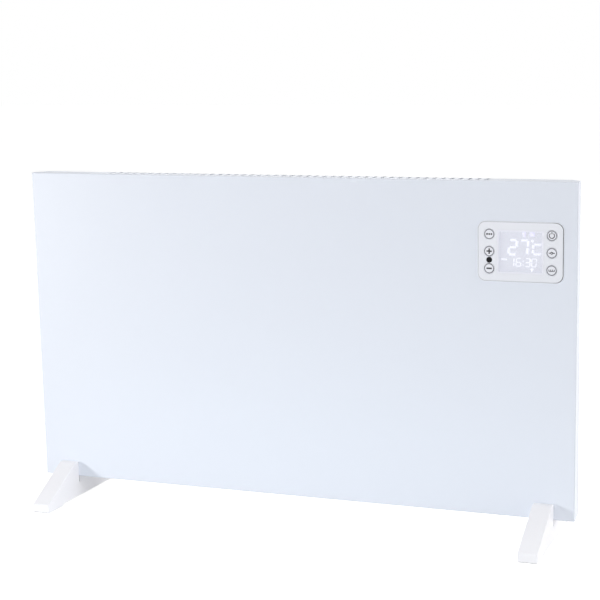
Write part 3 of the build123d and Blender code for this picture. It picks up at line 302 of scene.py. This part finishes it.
# %% [markdown]
# ## Moulded plastic
# The feet are injection moulded in a mould with a fine spark grain, so they are white but soft in
# their shine. The keys and the control plate come from polished moulds and shine more. One function
# makes them all from a colour, a gloss and the height of the grain. It adds the faint marks that
# the plastic leaves where it flowed, which are long upwards.

# %% Plastics
FLOW_SIZE, FLOW_STRETCH = 14.0, (1.0, 1.0, 0.35)
FLOW_SHADE = 0.96  # share of the colour that is left in a flow mark
MOULD_SPREAD = 0.12  # of the roughness


def moulded(name, colour, gloss, grain_height=0.00002, grain_size=1800.0, shine=0.5):
    """Moulded plastic with the grain of its mould."""
    plastic = Finish(name)
    grain = plastic.noise(grain_size, 2.0)
    flow = plastic.noise(FLOW_SIZE, 2.0, FLOW_STRETCH)
    return plastic.shade(
        Base_Color=plastic.blend(flow, part_of(colour, FLOW_SHADE), colour),
        Roughness=around(gloss, grain, MOULD_SPREAD),
        Specular_IOR_Level=shine,
        Normal=plastic.bump(grain, grain_height),
    )


foot_plastic = moulded("foot plastic", linear(253, 252, 255), 0.42)
plate_plastic = moulded("plate film", linear(240, 242, 249), 0.30, 0.000004)
key_plastic = moulded("key caps", linear(241, 242, 249), 0.28, 0.000004)
switch_plastic = moulded("switch black", linear(34, 34, 36), 0.30, 0.00001)
part_black = moulded("black parts", linear(40, 40, 42), 0.45)
housing_plastic = moulded("inner housings", linear(214, 214, 216), 0.5)
block_plastic = moulded("terminal block nylon", linear(222, 220, 210), 0.4)
bush_ceramic = moulded("bush ceramic", linear(226, 220, 206), 0.65, 0.00004, 900.0)
transformer_tape = moulded("transformer tape", linear(214, 178, 64), 0.4, 0.00005, 300.0)
lead_rubber = moulded("lead insulation", linear(176, 44, 38), 0.5, 0.00002, 900.0)
pad_rubber = moulded("pad rubber", linear(120, 121, 124), 0.8, 0.00006, 700.0)
print("plastics", len(bpy.data.materials), "materials so far")

# %% [markdown]
# ## Metals
# Rolled sheet shows long fine streaks along the way it was rolled, zinc on a screw shows small
# clouds, and an extruded profile shows lines along its length. All three are a noise that is
# stretched along one axis.

# %% Metals
STREAK_SHADE = 0.8  # share of the colour that is left in a streak
STREAK_DEPTH = 0.00001
STREAK_SPREAD = 0.2  # of the roughness


def metal(name, colour, gloss, stretch=(1.0, 1.0, 1.0), size=600.0):
    """Bare metal with streaks that are long where stretch is small."""
    bare = Finish(name)
    streaks = bare.noise(size, 3.0, stretch)
    return bare.shade(
        Base_Color=bare.blend(streaks, part_of(colour, STREAK_SHADE), colour),
        Metallic=1.0,
        Roughness=around(gloss, streaks, STREAK_SPREAD),
        Normal=bare.bump(streaks, STREAK_DEPTH),
    )


EXTRUDED, DRAWN, ROLLED = (0.04, 1.0, 1.0), (0.05, 1.0, 1.0), (0.1, 1.0, 1.0)  # along X
ROLLED_UP = (1.0, 1.0, 0.1)
screw_steel = metal("zinc plated steel", linear(196, 198, 202), 0.34)
plain_steel = metal("galvanised sheet", linear(190, 192, 194), 0.42, ROLLED_UP, 220.0)
element_aluminium = metal("extruded aluminium", linear(206, 208, 210), 0.36, EXTRUDED, 900.0)
rod_steel = metal("rod sheath", linear(150, 148, 146), 0.4, DRAWN, 700.0)
shield_aluminium = metal("shield sheet", linear(212, 213, 215), 0.28, ROLLED, 300.0)
earth_brass = metal("brass", linear(206, 172, 104), 0.3)
print("metals", earth_brass.name, "and five others")

# %% [markdown]
# ## Glass, board and display
# The display is a lit layer behind a thin tinted pane. The pane is see-through through its alpha,
# so the exported model keeps it too, and its rim is painted on the inside; that rim glows faintly,
# as painted light. The layer glows a little in a pale grey violet, and more at its rim than in its
# middle: the extra glow is painted light that fills the shade the pane's painted rim throws on it.
# The digits in front of it are pure light.

# %% Window pane
def outwards(finish, node):
    """How far a point is from the middle of a node seen from the front, up to 1 at its rim."""
    low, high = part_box(node)
    shares = []
    for which in (0, 2):
        middle, half = (low[which] + high[which]) / 2, (high[which] - low[which]) / 2
        shares.append(abs(finish.axis(which) - middle) / half)
    return shares[0].over(shares[1])


HAZE_SIZE, HAZE_SHADE, HAZE_SPREAD = 60.0, 0.98, 0.04
PANE_GLOSS, PANE_RIM_PAINTED_LIGHT = 0.26, 0.06


def tinted_pane(name, colour, solid, clear):
    """A pane with a painted rim outside its clear share. Solid: how much of its colour shows."""
    pane = Finish(name)
    haze = pane.noise(HAZE_SIZE, 1.0)
    painted = outwards(pane, "display_window") > clear
    return pane.shade(
        Base_Color=pane.blend(haze, part_of(colour, HAZE_SHADE), colour),
        Roughness=PANE_GLOSS + haze * HAZE_SPREAD,
        Alpha=painted.over(solid),
        # painted light: the pane's painted rim glows faintly
        Emission_Color=pane.blend(painted, BLACK, colour),
        Emission_Strength=PANE_RIM_PAINTED_LIGHT,
    )


window_pane = tinted_pane("window pane", linear(236, 237, 246), solid=0.12, clear=0.925)
print("glass", window_pane.name)

# %% Display layer
RIM_START, RIM_RISE = 0.88, 10.0  # where the painted light at the layer's rim starts, and how fast it rises
BODY_FAINT, BODY_LIT, GLOW_MIDDLE = 0.46, 0.5, 0.66  # shares of the layer's colour
LAYER_SIZE = 300.0  # clouds to the metre


def lit_layer(name, colour, glow):
    """The display's diffuser, with painted light near its rim to fill the shade there."""
    layer = Finish(name)
    rim_painted_light = (outwards(layer, "display_window") - RIM_START) * RIM_RISE
    faint, lit = part_of(colour, BODY_FAINT), part_of(colour, BODY_LIT)
    return layer.shade(
        Base_Color=layer.blend(layer.noise(LAYER_SIZE), faint, lit),
        Roughness=0.5,
        # painted light: the layer glows more near its rim, to fill the shade of the pane's rim
        Emission_Color=layer.blend(rim_painted_light, part_of(colour, GLOW_MIDDLE), colour),
        Emission_Strength=glow,
    )


display_glow = lit_layer("display layer", linear(222, 224, 234), glow=0.9)
print("behind the", window_pane.name, "lies the", display_glow.name)

# %% Inks and circuit board
FLICKER_SIZE, FLICKER_SHADE = 500.0, 0.97
TRACKS = {"Scale": 90.0, "Mortar Size": 0.03, "Color1": BLACK, "Color2": WHITE}
LACQUER_SIZE, LACQUER_GLOSS, LACQUER_SPREAD = 400.0, 0.35, 0.1


def light_ink(name, colour, glow):
    """What the display's digits are made of."""
    ink = Finish(name)
    flicker = ink.noise(FLICKER_SIZE, 1.0)
    tone = ink.blend(flicker, part_of(colour, FLICKER_SHADE), colour)
    return ink.shade(Base_Color=tone, Roughness=0.5, Emission_Color=tone, Emission_Strength=glow)


def circuit_board(name):
    """Green lacquer over straight copper tracks."""
    board = Finish(name)
    rows = {"offset": 0.5, "squash": 1.0}
    tracks = board.node("ShaderNodeTexBrick", rows, {"Vector": board.place(), **TRACKS})
    green = board.blend(tracks, linear(26, 92, 52), linear(38, 116, 66))
    gloss = LACQUER_GLOSS + board.noise(LACQUER_SIZE) * LACQUER_SPREAD
    return board.shade(Base_Color=green, Roughness=gloss)


digit_light = light_ink("digit light", linear(242, 243, 251), 0.37)
halo_light = light_ink("halo light", linear(226, 228, 240), 0.34)
icon_light = light_ink("faint icon light", linear(235, 234, 251), 0.31)
board_green = circuit_board("circuit board")
receiver_black = moulded("receiver lens", linear(16, 16, 20), 0.3, 0.000002, shine=0.15)
key_ink = moulded("key ink", linear(96, 98, 107), 0.5, 0.000004)
bold_ink = moulded("bold key ink", linear(52, 54, 60), 0.5, 0.000004)
mark_ink = moulded("switch marks", linear(226, 226, 228), 0.5, 0.000004)
print("inks and board ready,", len(bpy.data.materials), "materials so far")

# %% [markdown]
# ## Which finish goes where
# The record of the heater names a material slot for every solid, so one table from slot to finish
# dresses them all. The solids keep their meshes; only their material slots change.

# %% Dress the solids
FINISHES = {
    "panel_paint": panel_paint,
    "casing_paint": casing_paint,
    "foot_plastic": foot_plastic,
    "pad_rubber": pad_rubber,
    "screw_steel": screw_steel,
    "plain_steel": plain_steel,
    "plate_plastic": plate_plastic,
    "key_plastic": key_plastic,
    "window_pane": window_pane,
    "display_glow": display_glow,
    "receiver_black": receiver_black,
    "board_green": board_green,
    "housing_plastic": housing_plastic,
    "element_aluminium": element_aluminium,
    "rod_steel": rod_steel,
    "bush_ceramic": bush_ceramic,
    "shield_aluminium": shield_aluminium,
    "part_black": part_black,
    "transformer_yellow": transformer_tape,
    "block_plastic": block_plastic,
    "earth_brass": earth_brass,
    "switch_plastic": switch_plastic,
    "lead_rubber": lead_rubber,
}
for entry in frame["record"]["subparts"]:
    for slot in frame["nodes"][entry["node"]].material_slots:
        slot.link = "OBJECT"
        slot.material = FINISHES[entry["material_slot"]]

# %% [markdown]
# ## A recipe for printed lines
# The rings, the symbols and the digits are all the same thing: a line of some width with a very
# thin body. A Geometry Nodes tree sweeps a flat strip along each spline, stands it up to face the
# front, and moves it to its place. Drawing a symbol is then only a matter of listing its points.

# %% Recipes of geometry nodes
class Recipe:
    """A Geometry Nodes tree that is being made. Its inputs are named as the sizes they are."""

    def __init__(self, name, **sizes):
        self.tree = bpy.data.node_groups.new(name, "GeometryNodeTree")
        face = self.tree.interface
        for way in ("INPUT", "OUTPUT"):
            face.new_socket("Geometry", in_out=way, socket_type="NodeSocketGeometry")
        for label, value in sizes.items():
            kind = {tuple: "Vector", int: "Int", float: "Float"}[type(value)]
            socket = face.new_socket(label, in_out="INPUT", socket_type="NodeSocket" + kind)
            socket.default_value = value
        self.start = self.tree.nodes.new("NodeGroupInput")
        self.end = self.tree.nodes.new("NodeGroupOutput")

    def size(self, label):
        """The link that carries one of the sizes."""
        return self.start.outputs[label]

    def node(self, kind, settings=None, sockets=None):
        """Adds a node: first its settings, then the values or links of its sockets."""
        made = self.tree.nodes.new(kind)
        for name, value in (settings or {}).items():
            setattr(made, name, value)
        for name, value in (sockets or {}).items():
            if isinstance(value, bpy.types.NodeSocket):
                self.tree.links.new(value, made.inputs[name])
            else:
                made.inputs[name].default_value = value
        return made.outputs[0]

    def serve(self, geometry, material):
        """Ends the tree: real geometry, in one material."""
        real = self.node("GeometryNodeRealizeInstances", {}, {"Geometry": geometry})
        coated = {"Geometry": real, "Material": material}
        done = self.node("GeometryNodeSetMaterial", {}, coated)
        self.tree.links.new(done, self.end.inputs[0])
        return self


print("what a recipe can do", [name for name in vars(Recipe) if name[0] != "_"])

# %% Grow a mesh
def grow(source, recipe, name, **sizes):
    """Runs a recipe on an object and keeps the result as a plain mesh."""
    bpy.context.scene.collection.objects.link(source)
    modifier = source.modifiers.new("recipe", "NODES")
    modifier.node_group = recipe.tree
    for item in recipe.tree.interface.items_tree:
        if item.in_out == "INPUT" and item.name in sizes:
            modifier[item.identifier] = sizes[item.name]
    bpy.context.view_layer.update()
    graph = bpy.context.evaluated_depsgraph_get()
    mesh = bpy.data.meshes.new_from_object(source.evaluated_get(graph), depsgraph=graph)
    made = bpy.data.objects.new(name, mesh)
    bpy.context.scene.collection.objects.link(made)
    bpy.data.objects.remove(source)
    return made


# %% The recipe for printed lines
INK_HEIGHT = 0.00006
TO_FRONT = (math.radians(90), 0.0, 0.0)


def printed_line(material):
    """A flat strip along every spline of a curve drawn flat, turned and moved to its place."""
    sizes = {"line_width": 0.001, "ink_height": INK_HEIGHT, "place": (0.0, 0.0, 0.0)}
    recipe = Recipe("printed line", **sizes, turn=TO_FRONT)
    drawing = {"Curve": recipe.size("Geometry")}
    up = recipe.node("GeometryNodeSetCurveNormal", {"mode": "Z_UP"}, drawing)
    section = {"Width": recipe.size("line_width"), "Height": recipe.size("ink_height")}
    strip = recipe.node("GeometryNodeCurvePrimitiveQuadrilateral", {}, section)
    swept = {"Curve": up, "Profile Curve": strip, "Fill Caps": True}
    body = recipe.node("GeometryNodeCurveToMesh", {}, swept)
    stood = {"Rotation": recipe.size("turn"), "Translation": recipe.size("place")}
    placed = recipe.node("GeometryNodeTransform", {}, {"Geometry": body, **stood})
    return recipe.serve(placed, material)


print("ink is", round(INK_HEIGHT / MM, 3), "mm high")

# %% Drawings in ink
def drawn(strokes):
    """A curve with one straight-edged spline for each stroke, a list of points in millimetres."""
    curve = bpy.data.curves.new("strokes", "CURVE")
    curve.dimensions = "3D"
    for points in strokes:
        closed = points[0] == points[-1]
        points = points[:-1] if closed else points
        spline = curve.splines.new("POLY")
        spline.points.add(len(points) - 1)
        for target, (x, z) in zip(spline.points, points):
            target.co = (x * MM, z * MM, 0.0, 1.0)
        spline.use_cyclic_u = closed
    return bpy.data.objects.new("strokes", curve)


INKS = (key_ink, bold_ink, mark_ink, digit_light, halo_light, icon_light)
lines = {ink: printed_line(ink) for ink in INKS}  # a recipe for each ink


def printed(name, strokes, width, ink, place, turn=TO_FRONT):
    """A drawing in an ink as a plain mesh: its lines have a width in millimetres."""
    sizes = {"line_width": width * MM, "ink_height": INK_HEIGHT, "place": place, "turn": turn}
    return grow(drawn(strokes), lines[ink], name, **sizes)


print("recipes for printed lines", len(lines))

# %% Helpers for drawings
def arc(radius, start, end, centre=(0.0, 0.0), steps=40):
    """Points along an arc, its angles in degrees from the right, anticlockwise."""
    turns = [math.radians(start + (end - start) * i / steps) for i in range(steps + 1)]
    points = [(centre[0] + radius * math.cos(t), centre[1] + radius * math.sin(t)) for t in turns]
    return points[:-1] + [points[0]] if abs(end - start) == 360 else points


def in_front(node, off):
    """The middle of a node's front face, moved out from it by off."""
    low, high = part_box(node)
    return ((low[0] + high[0]) / 2, low[1] - off, (low[2] + high[2]) / 2)


def joined(pieces, name):
    """Several meshes as one."""
    first = pieces[0]
    with bpy.context.temp_override(active_object=first, selected_editable_objects=pieces):
        bpy.ops.object.join()
    first.name = name
    return first


print("the plate's face is at", round(in_front("control_plate", 0.0)[1], 5))

# %% [markdown]
# ## Symbols on the keys
# Each key carries a ring near its rim and a symbol that needs no words: power, plus and minus, and
# for the other three a choice of dots, a slider to set and the marks of a day's plan. They ride on
# their keys, so a pressed key takes its print with it.

# %% Key symbols
DOT_LINE = 1.2  # width of the line that draws a dot
DOT_RADIUS = DOT_LINE * 0.52
RING_LINE = 0.95


def dot(x):
    """A round dot: a ring so tight that its line all but fills it."""
    return arc(DOT_RADIUS, 0, 360, centre=(x, 0.0), steps=16)


RING = [arc(6.05, 0, 360, steps=64)]
DOTS = [dot(-2.9), dot(0.0), dot(2.9)]
PLUS = [[(-3.6, 0), (3.6, 0)], [(0, 3.6), (0, 0.9)], [(0, -0.9), (0, -3.6)]]
MINUS = [[(-3.6, 0), (3.6, 0)]]
POWER = [arc(3.4, 125, 415), [(0, 2.0), (0, 4.8)]]
SLIDER = [[(-4.0, 0), (-1.4, 0)], [(1.4, 0), (4.0, 0)], arc(1.3, 0, 360, steps=20)]
DAY_PLAN = [[(-4.0, -0.9), (4.0, -0.9)]]
DAY_PLAN += [[(x, -0.9), (x, 1.3)] for x in (-3.6, -1.2, 1.2, 3.6)]
SYMBOLS = {  # strokes and the width of their line
    "key_mode": (DOTS, DOT_LINE),
    "key_plus": (PLUS, 1.9),
    "key_minus": (MINUS, 2.0),
    "key_power": (POWER, 1.1),
    "key_set": (SLIDER, 1.0),
    "key_clock": (DAY_PLAN, 0.9),
}
print("symbols", {node: len(strokes) for node, (strokes, width) in SYMBOLS.items()})

# %% Print on the keys
bodies = frame["record"]["behaviour"]["bodies"]
bodies_of = {node: body for body, nodes in bodies.items() for node in nodes}
for node, (strokes, width) in SYMBOLS.items():
    place = in_front(node, INK_HEIGHT / 2)
    ring = printed("ring", RING, RING_LINE, key_ink, place)
    symbol = printed("symbol", strokes, width, bold_ink, place)
    symbol = joined([ring, symbol], "print_on_" + node)
    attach(symbol, bodies_of[node])
print("printed", len(SYMBOLS), "keys")

# %% [markdown]
# ## Digits of light
# A seven-segment digit is seven short bars, so a digit is a list of the bars that are lit. The bars
# lean a little to the right. They are swept by the same recipe as the keys' print, just in front of
# the lit layer, and the large ones have a wider, fainter line behind them as their halo.

# %% Segments
SEGMENTS = {
    "a": ((0.0, 1.0), (1.0, 1.0)),
    "b": ((1.0, 1.0), (1.0, 0.5)),
    "c": ((1.0, 0.5), (1.0, 0.0)),
    "d": ((0.0, 0.0), (1.0, 0.0)),
    "e": ((0.0, 0.5), (0.0, 0.0)),
    "f": ((0.0, 1.0), (0.0, 0.5)),
    "g": ((0.0, 0.5), (1.0, 0.5)),
}
LIT = {
    "0": "abcdef",
    "1": "bc",
    "2": "abged",
    "3": "abgcd",
    "6": "afgedc",
    "7": "abc",
    "C": "afed",
}
LEAN = 0.07
BAR_GAP = 0.28  # cut off each end of a bar, as a share of its line


def digit(sign, left, low, width, height, line):
    """The lit bars of one digit, as strokes from the middle of the display."""
    strokes = []
    for segment in LIT[sign]:
        (x0, z0), (x1, z1) = SEGMENTS[segment]
        start, end = Vector((x0 * width, z0 * height)), Vector((x1 * width, z1 * height))
        trim = (end - start).normalized() * line * BAR_GAP
        ends = (start + trim, end - trim)
        strokes.append([(left + p.x + LEAN * p.y, low + p.y) for p in ends])
    return strokes


print("signs", " ".join(LIT))

# %% Drawings for the display
LARGE_DIGITS = (  # sign, left, low, width, height and line
    ("2", -16.6, -3.6, 10.2, 19.0, 3.3),
    ("7", -1.8, -3.6, 10.5, 19.0, 3.3),
    ("C", 16.0, -2.3, 11.2, 12.4, 3.0),
)
SMALL_DIGITS = (("1", -15.8), ("6", -6.4), ("3", 5.9), ("0", 14.2))  # sign and left
SMALL_SIZES = (-19.0, 6.0, 10.4, 1.5)  # low, width, height and line
large = [bar for row in LARGE_DIGITS for bar in digit(*row)]
small = [bar for row in SMALL_DIGITS for bar in digit(*row, *SMALL_SIZES)]
degree = [arc(1.2, 0, 360, centre=(15.3, 14.6), steps=20)]
colon = [[(3.0, z), (3.1, z + 1.5)] for z in (-17.6, -12.8)]
dash = [[(-26.2, -10.2), (-18.4, -10.6)]]
arrow = [[(14.8, -25.4), (14.8, -21.8)], [(13.2, -23.2), (14.8, -21.4), (16.4, -23.2)]]
dial_icon = [arc(1.4, 0, 360, centre=(4.4, 23.6)), [(2.4, 20.4), (6.6, 20.4)]]
dial_icon += [[(4.4, 25.2), (4.4, 27.0)]]
box_icon = [[(12.2, 21.0), (12.2, 25.6), (17.4, 25.6), (17.4, 21.0), (12.2, 21.0)]]
box_icon += [[(12.4, 23.3), (17.2, 23.3)], [(14.8, 25.6), (14.8, 27.0)]]
GLYPHS = (  # name, strokes, width of their line and light
    ("large", large, 3.4, digit_light),
    ("degree", degree, 1.6, digit_light),
    ("small", small, 1.7, digit_light),
    ("colon", colon, 1.5, digit_light),
    ("dash", dash, 2.3, digit_light),
    ("icons", dial_icon + box_icon, 2.6, icon_light),
    ("arrow", arrow, 2.6, digit_light),
)
low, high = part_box("display_module")
display_size = [round((high[i] - low[i]) / MM, 1) for i in (0, 2)]
print(len(large + small), "bars of digits for a display of", display_size, "mm")

# %% Light on the display
DIGITS_OUT, HALO_OUT = 0.00012, 0.00005  # from the lit layer to the digits and to their halo
HALO_LINE = 4.8
digits_place = in_front("display_module", DIGITS_OUT)
halo_place = in_front("display_module", HALO_OUT)
parts = [printed("halo", large, HALO_LINE, halo_light, halo_place)]
parts += [printed(*row, digits_place) for row in GLYPHS]
glyphs = joined(parts, "display_digits")
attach(glyphs, "heater")
print("drawings", len(parts), "on", glyphs.name)

# %% [markdown]
# ## Painted shade round the control plate
# The raised plate's edge shows as a fine line of painted shade just inside it. The solids don't
# carry it, so it is one more line swept by the recipe, along a rounded rectangle. It is light grey,
# and dark at the right end, where the plate's side faces away from the light.

# %% Shape and grey of the painted edge shade
PLATE_RADIUS = 11.0  # of the plate's corners, in millimetres
EDGE_SHADE_INSET = 0.95  # edge of the plate to the middle of the shade line, in millimetres
EDGE_SHADE_LINE = 0.9  # its width, in millimetres
DARK_START = 0.016  # from the right end of the plate to where the painted shade starts to darken
DARK_RISE = 90.0  # how fast it darkens there, to the metre


def rounded(half_w, half_h, radius):
    """A closed rounded rectangle about the origin."""
    points = []
    for turn, sx, sz in ((0, 1, 1), (90, -1, 1), (180, -1, -1), (270, 1, -1)):
        centre = (sx * (half_w - radius), sz * (half_h - radius))
        points += arc(radius, turn, turn + 90, centre=centre, steps=12)
    return points + [points[0]]


SPECK_SIZE, SPECK_GLOSS, SPECK_SPREAD = 900.0, 0.5, 0.1


def shaded_grey(name, light, dark, start):
    """Grey with painted shade that turns dark to the right of a start along X."""
    grey = Finish(name)
    share = (grey.axis(0) - start) * DARK_RISE
    kept = grey.node("ShaderNodeClamp", {}, {"Value": share})
    shade = grey.blend(kept, light, dark)
    gloss = SPECK_GLOSS + grey.noise(SPECK_SIZE) * SPECK_SPREAD
    return grey.shade(Base_Color=shade, Roughness=gloss)


print("edge_shade_mesh", EDGE_SHADE_LINE, "mm wide and", EDGE_SHADE_INSET, "mm inside the edge of the plate")

# %% Painted edge shade
low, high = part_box("control_plate")
# painted shade of the plate's edge: light grey, and dark at its right end
edge_shade_greys = (linear(198, 200, 206), linear(52, 54, 60))
edge_shade_grey = shaded_grey("plate groove", *edge_shade_greys, high[0] - DARK_START)
lines[edge_shade_grey] = printed_line(edge_shade_grey)
half_w, half_h = ((high[i] - low[i]) / 2 / MM - EDGE_SHADE_INSET for i in (0, 2))
path = [rounded(half_w, half_h, PLATE_RADIUS - EDGE_SHADE_INSET)]
plate_front = in_front("control_plate", INK_HEIGHT / 2)
# a line of painted shade just inside the plate's edge
edge_shade_mesh = printed("plate_edge_painted_shade", path, EDGE_SHADE_LINE, edge_shade_grey, plate_front)
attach(edge_shade_mesh, "heater")
print("edge_shade_mesh", round(2 * half_w, 1), "by", round(2 * half_h, 1), "mm")

# %% [markdown]
# ## Marks on the mains switch
# The rocker carries a bar for on and a circle for off, on its two faces. The faces look to the back
# and lean by a few degrees, so the recipe's turn takes each mark to its own face. They ride on the
# rocker.

# %% Switch marks
ROCKER_LEAN = 10.84  # degrees from the rocker's middle plane to each of its faces
ROCKER_TILT = 10.0  # degrees that the whole rocker is tilted
FACE_OUT, FACE_UP = 5.5, 4.7  # pivot to the middle of a face, in millimetres
PIVOT_SUNK = 3.6  # surface of the switch's flange to the pivot, in millimetres
MARK_OFF = INK_HEIGHT * 0.6  # from a face of the rocker to the middle of its mark


def on_rocker(side, pivot):
    """The place and the turn of a mark on the upper (1) or lower (-1) face of the rocker."""
    tilt = math.radians(ROCKER_TILT)
    out = FACE_OUT * math.cos(tilt) - side * FACE_UP * math.sin(tilt)
    up = FACE_OUT * math.sin(tilt) + side * FACE_UP * math.cos(tilt)
    lean = math.radians(side * ROCKER_LEAN - ROCKER_TILT)
    back = pivot[1] + out * MM + MARK_OFF * math.cos(lean)
    height = pivot[2] + up * MM - MARK_OFF * math.sin(lean)
    return (pivot[0], back, height), (math.radians(90) + lean, 0.0, math.radians(180))


low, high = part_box("switch_housing")
pivot = ((low[0] + high[0]) / 2, high[1] - PIVOT_SUNK * MM, (low[2] + high[2]) / 2)
bar = printed("bar", [[(0, -2.0), (0, 2.0)]], 0.9, mark_ink, *on_rocker(1, pivot))
circle = printed("circle", [arc(1.8, 0, 360)], 0.8, mark_ink, *on_rocker(-1, pivot))
marks = joined([bar, circle], "marks_on_rocker")
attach(marks, "rocker")

# %% [markdown]
# ## Grip ribs on the cable gland
# The gland's dome is turned by hand, so it carries a ring of small ribs. The recipe makes one rib,
# puts it on the side of the dome, and repeats it round the axis: each point gives one instance,
# turned by its number.

# %% Gland ribs
RIB_SIZES = {  # the taper is an angle
    "count": 20,
    "rib": (0.001, 0.001, 0.008),
    "radius": 0.007,
    "taper": 0.17,
    "place": (0.0, 0.0, 0.0),
}
DOME_SHARE = 0.62  # how far along the gland the middle of its ribs is


def ring_of_ribs(material):
    """Ribs round a cone whose axis looks to the back."""
    recipe = Recipe("ring of ribs", **RIB_SIZES)
    rib = recipe.node("GeometryNodeMeshCube", {}, {"Size": recipe.size("rib")})
    tilt = recipe.node("ShaderNodeCombineXYZ", {}, {"Y": recipe.size("taper")})
    out = recipe.node("ShaderNodeCombineXYZ", {}, {"X": recipe.size("radius")})
    set_out = {"Geometry": rib, "Rotation": tilt, "Translation": out}
    rib = recipe.node("GeometryNodeTransform", {}, set_out)
    points = recipe.node("GeometryNodePoints", {}, {"Count": recipe.size("count")})
    number = recipe.node("GeometryNodeInputIndex")
    shares = {0: 2 * math.pi, 1: recipe.size("count")}
    step = recipe.node("ShaderNodeMath", {"operation": "DIVIDE"}, shares)
    angle = recipe.node("ShaderNodeMath", {"operation": "MULTIPLY"}, {0: number, 1: step})
    turned = recipe.node("ShaderNodeCombineXYZ", {}, {"Z": angle})
    repeated = {"Points": points, "Instance": rib, "Rotation": turned}
    ring = recipe.node("GeometryNodeInstanceOnPoints", {}, repeated)
    to_back = {"Rotation": (math.radians(-90), 0.0, 0.0), "Translation": recipe.size("place")}
    placed = recipe.node("GeometryNodeTransform", {}, {"Geometry": ring, **to_back})
    return recipe.serve(placed, material)


low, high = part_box("cable_gland")
along = low[1] + DOME_SHARE * (high[1] - low[1])
dome = ((low[0] + high[0]) / 2, along, (low[2] + high[2]) / 2)
empty = bpy.data.objects.new("gland", bpy.data.meshes.new("gland"))  # the recipe fills it
ribs = grow(empty, ring_of_ribs(part_black), "gland_ribs", place=dome)
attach(ribs, "heater")
print("ribs", len(ribs.data.polygons), "faces at", [round(v, 4) for v in dome])

# %% [markdown]
# ## Floor and background
# The heater stands in a white sweep. The background is white by its colour alone: where a ray comes
# straight from the camera, or from a gloss, it sees white, while the light that falls on the heater
# is set apart from it.

# %% Floor
FLOOR_REACH = 12.0
FLOOR_GLOW = 0.66  # what is added to the floor where it is looked at, so that it looks white


def white_sweep():
    """The floor's material: it shows the shadow, and is white round it."""
    sweep = Finish("white floor")
    sweep.shade(Base_Color=linear(241, 241, 241), Roughness=0.9, Specular_IOR_Level=0.1)
    seen = sweep.node("ShaderNodeEmission", {}, {"Color": WHITE, "Strength": FLOOR_GLOW})
    plain = Wire(sweep, sweep.principled.outputs[0])
    both = sweep.node("ShaderNodeAddShader", {}, {0: plain, 1: seen})
    shares = {0: sweep.white_to_look_at(), 1: plain, 2: both}
    mixed = sweep.node("ShaderNodeMixShader", {}, shares)
    sweep.give(sweep.tree.nodes["Material Output"].inputs[0], mixed)
    return sweep.material


def floor(reach):
    """A square floor that reaches this far from the heater on every side."""
    mesh = bpy.data.meshes.new("floor")
    corners = [(-reach, -reach, 0), (reach, -reach, 0), (reach, reach, 0), (-reach, reach, 0)]
    mesh.from_pydata(corners, [], [(0, 1, 2, 3)])
    mesh.materials.append(white_sweep())
    made = bpy.data.objects.new("floor", mesh)
    bpy.context.scene.collection.objects.link(made)


floor(FLOOR_REACH)
print("floor reaches", FLOOR_REACH, "m")

# %% Background
SKY_LIGHT = 0.36  # how strongly the background lights the heater


def white_world(level):
    """A world that is white to look at, and lights by a level of its own."""
    world = bpy.data.worlds.new("studio")
    world.use_nodes = True
    studio = Web(world.node_tree)
    lit = studio.tree.nodes["Background"]
    studio.give(lit.inputs["Color"], WHITE)
    studio.give(lit.inputs["Strength"], level)
    seen = studio.node("ShaderNodeBackground", {}, {"Color": WHITE, "Strength": 1.0})
    shares = {0: studio.white_to_look_at(), 1: Wire(studio, lit.outputs[0]), 2: seen}
    mixed = studio.node("ShaderNodeMixShader", {}, shares)
    studio.give(studio.tree.nodes["World Output"].inputs[0], mixed)
    bpy.context.scene.world = world


white_world(SKY_LIGHT)
print("background", bpy.context.scene.world.name, "lights by", SKY_LIGHT)

# %% [markdown]
# ## Lights
# A small lamp low on the left gives the panel its slow change from left to right, and large soft
# boxes in front, on the right, above and behind light the other sides. The flat upper return is
# seen so nearly edge on that it mirrors what stands behind the heater. So the back light keeps out
# of that strip, and a weak rim light stands in it behind the slots. A strip of faint light near the
# floor stands in for what a bright floor throws up on the panel's lower edge.

# %% Lights
def soft_light(name, place, target, size, power, colour=(1.0, 1.0, 1.0), height=None):
    """A soft box at a place, aimed at a target: as high as it is wide, or of its own height."""
    data = bpy.data.lights.new(name, "AREA")
    data.shape = "RECTANGLE"
    data.size = size
    data.size_y = height or size
    data.energy = power
    data.color = colour
    made = bpy.data.objects.new(name, data)
    made.location = place
    aim = Vector(target) - Vector(place)
    made.rotation_euler = aim.to_track_quat("-Z", "Y").to_euler()
    bpy.context.scene.collection.objects.link(made)


MIDDLE = (0.0, 0.0, 0.2)
FLOOR_TINT = (0.7, 0.97, 1.1)
soft_light("key light", (-2.3, -2.0, 0.3), (0.0, 0.0, 0.25), 0.25, 28.0)
soft_light("front light", (-0.4, -2.8, 1.1), MIDDLE, 1.2, 12.0)
soft_light("right light", (4.4, -0.4, 1.5), (0.3, 0.0, 0.2), 2.0, 73.0)
soft_light("top light", (0.0, 0.2, 2.6), MIDDLE, 1.6, 18.0)
soft_light("back light", (1.6, 3.0, 1.7), MIDDLE, 1.6, 24.0)
soft_light("rim light", (-1.23, 3.0, 0.8), (0.0, 0.0, 0.48), 1.3, 3.4, height=0.5)
soft_light("low light", (0.0, -0.35, 0.05), (0.0, 0.0, 0.07), 1.0, 0.1, FLOOR_TINT, 0.07)

# %% [markdown]
# ## Finish
# The view transform shows colours as they are written.

# %% End
bpy.context.scene.view_settings.view_transform = "Standard"
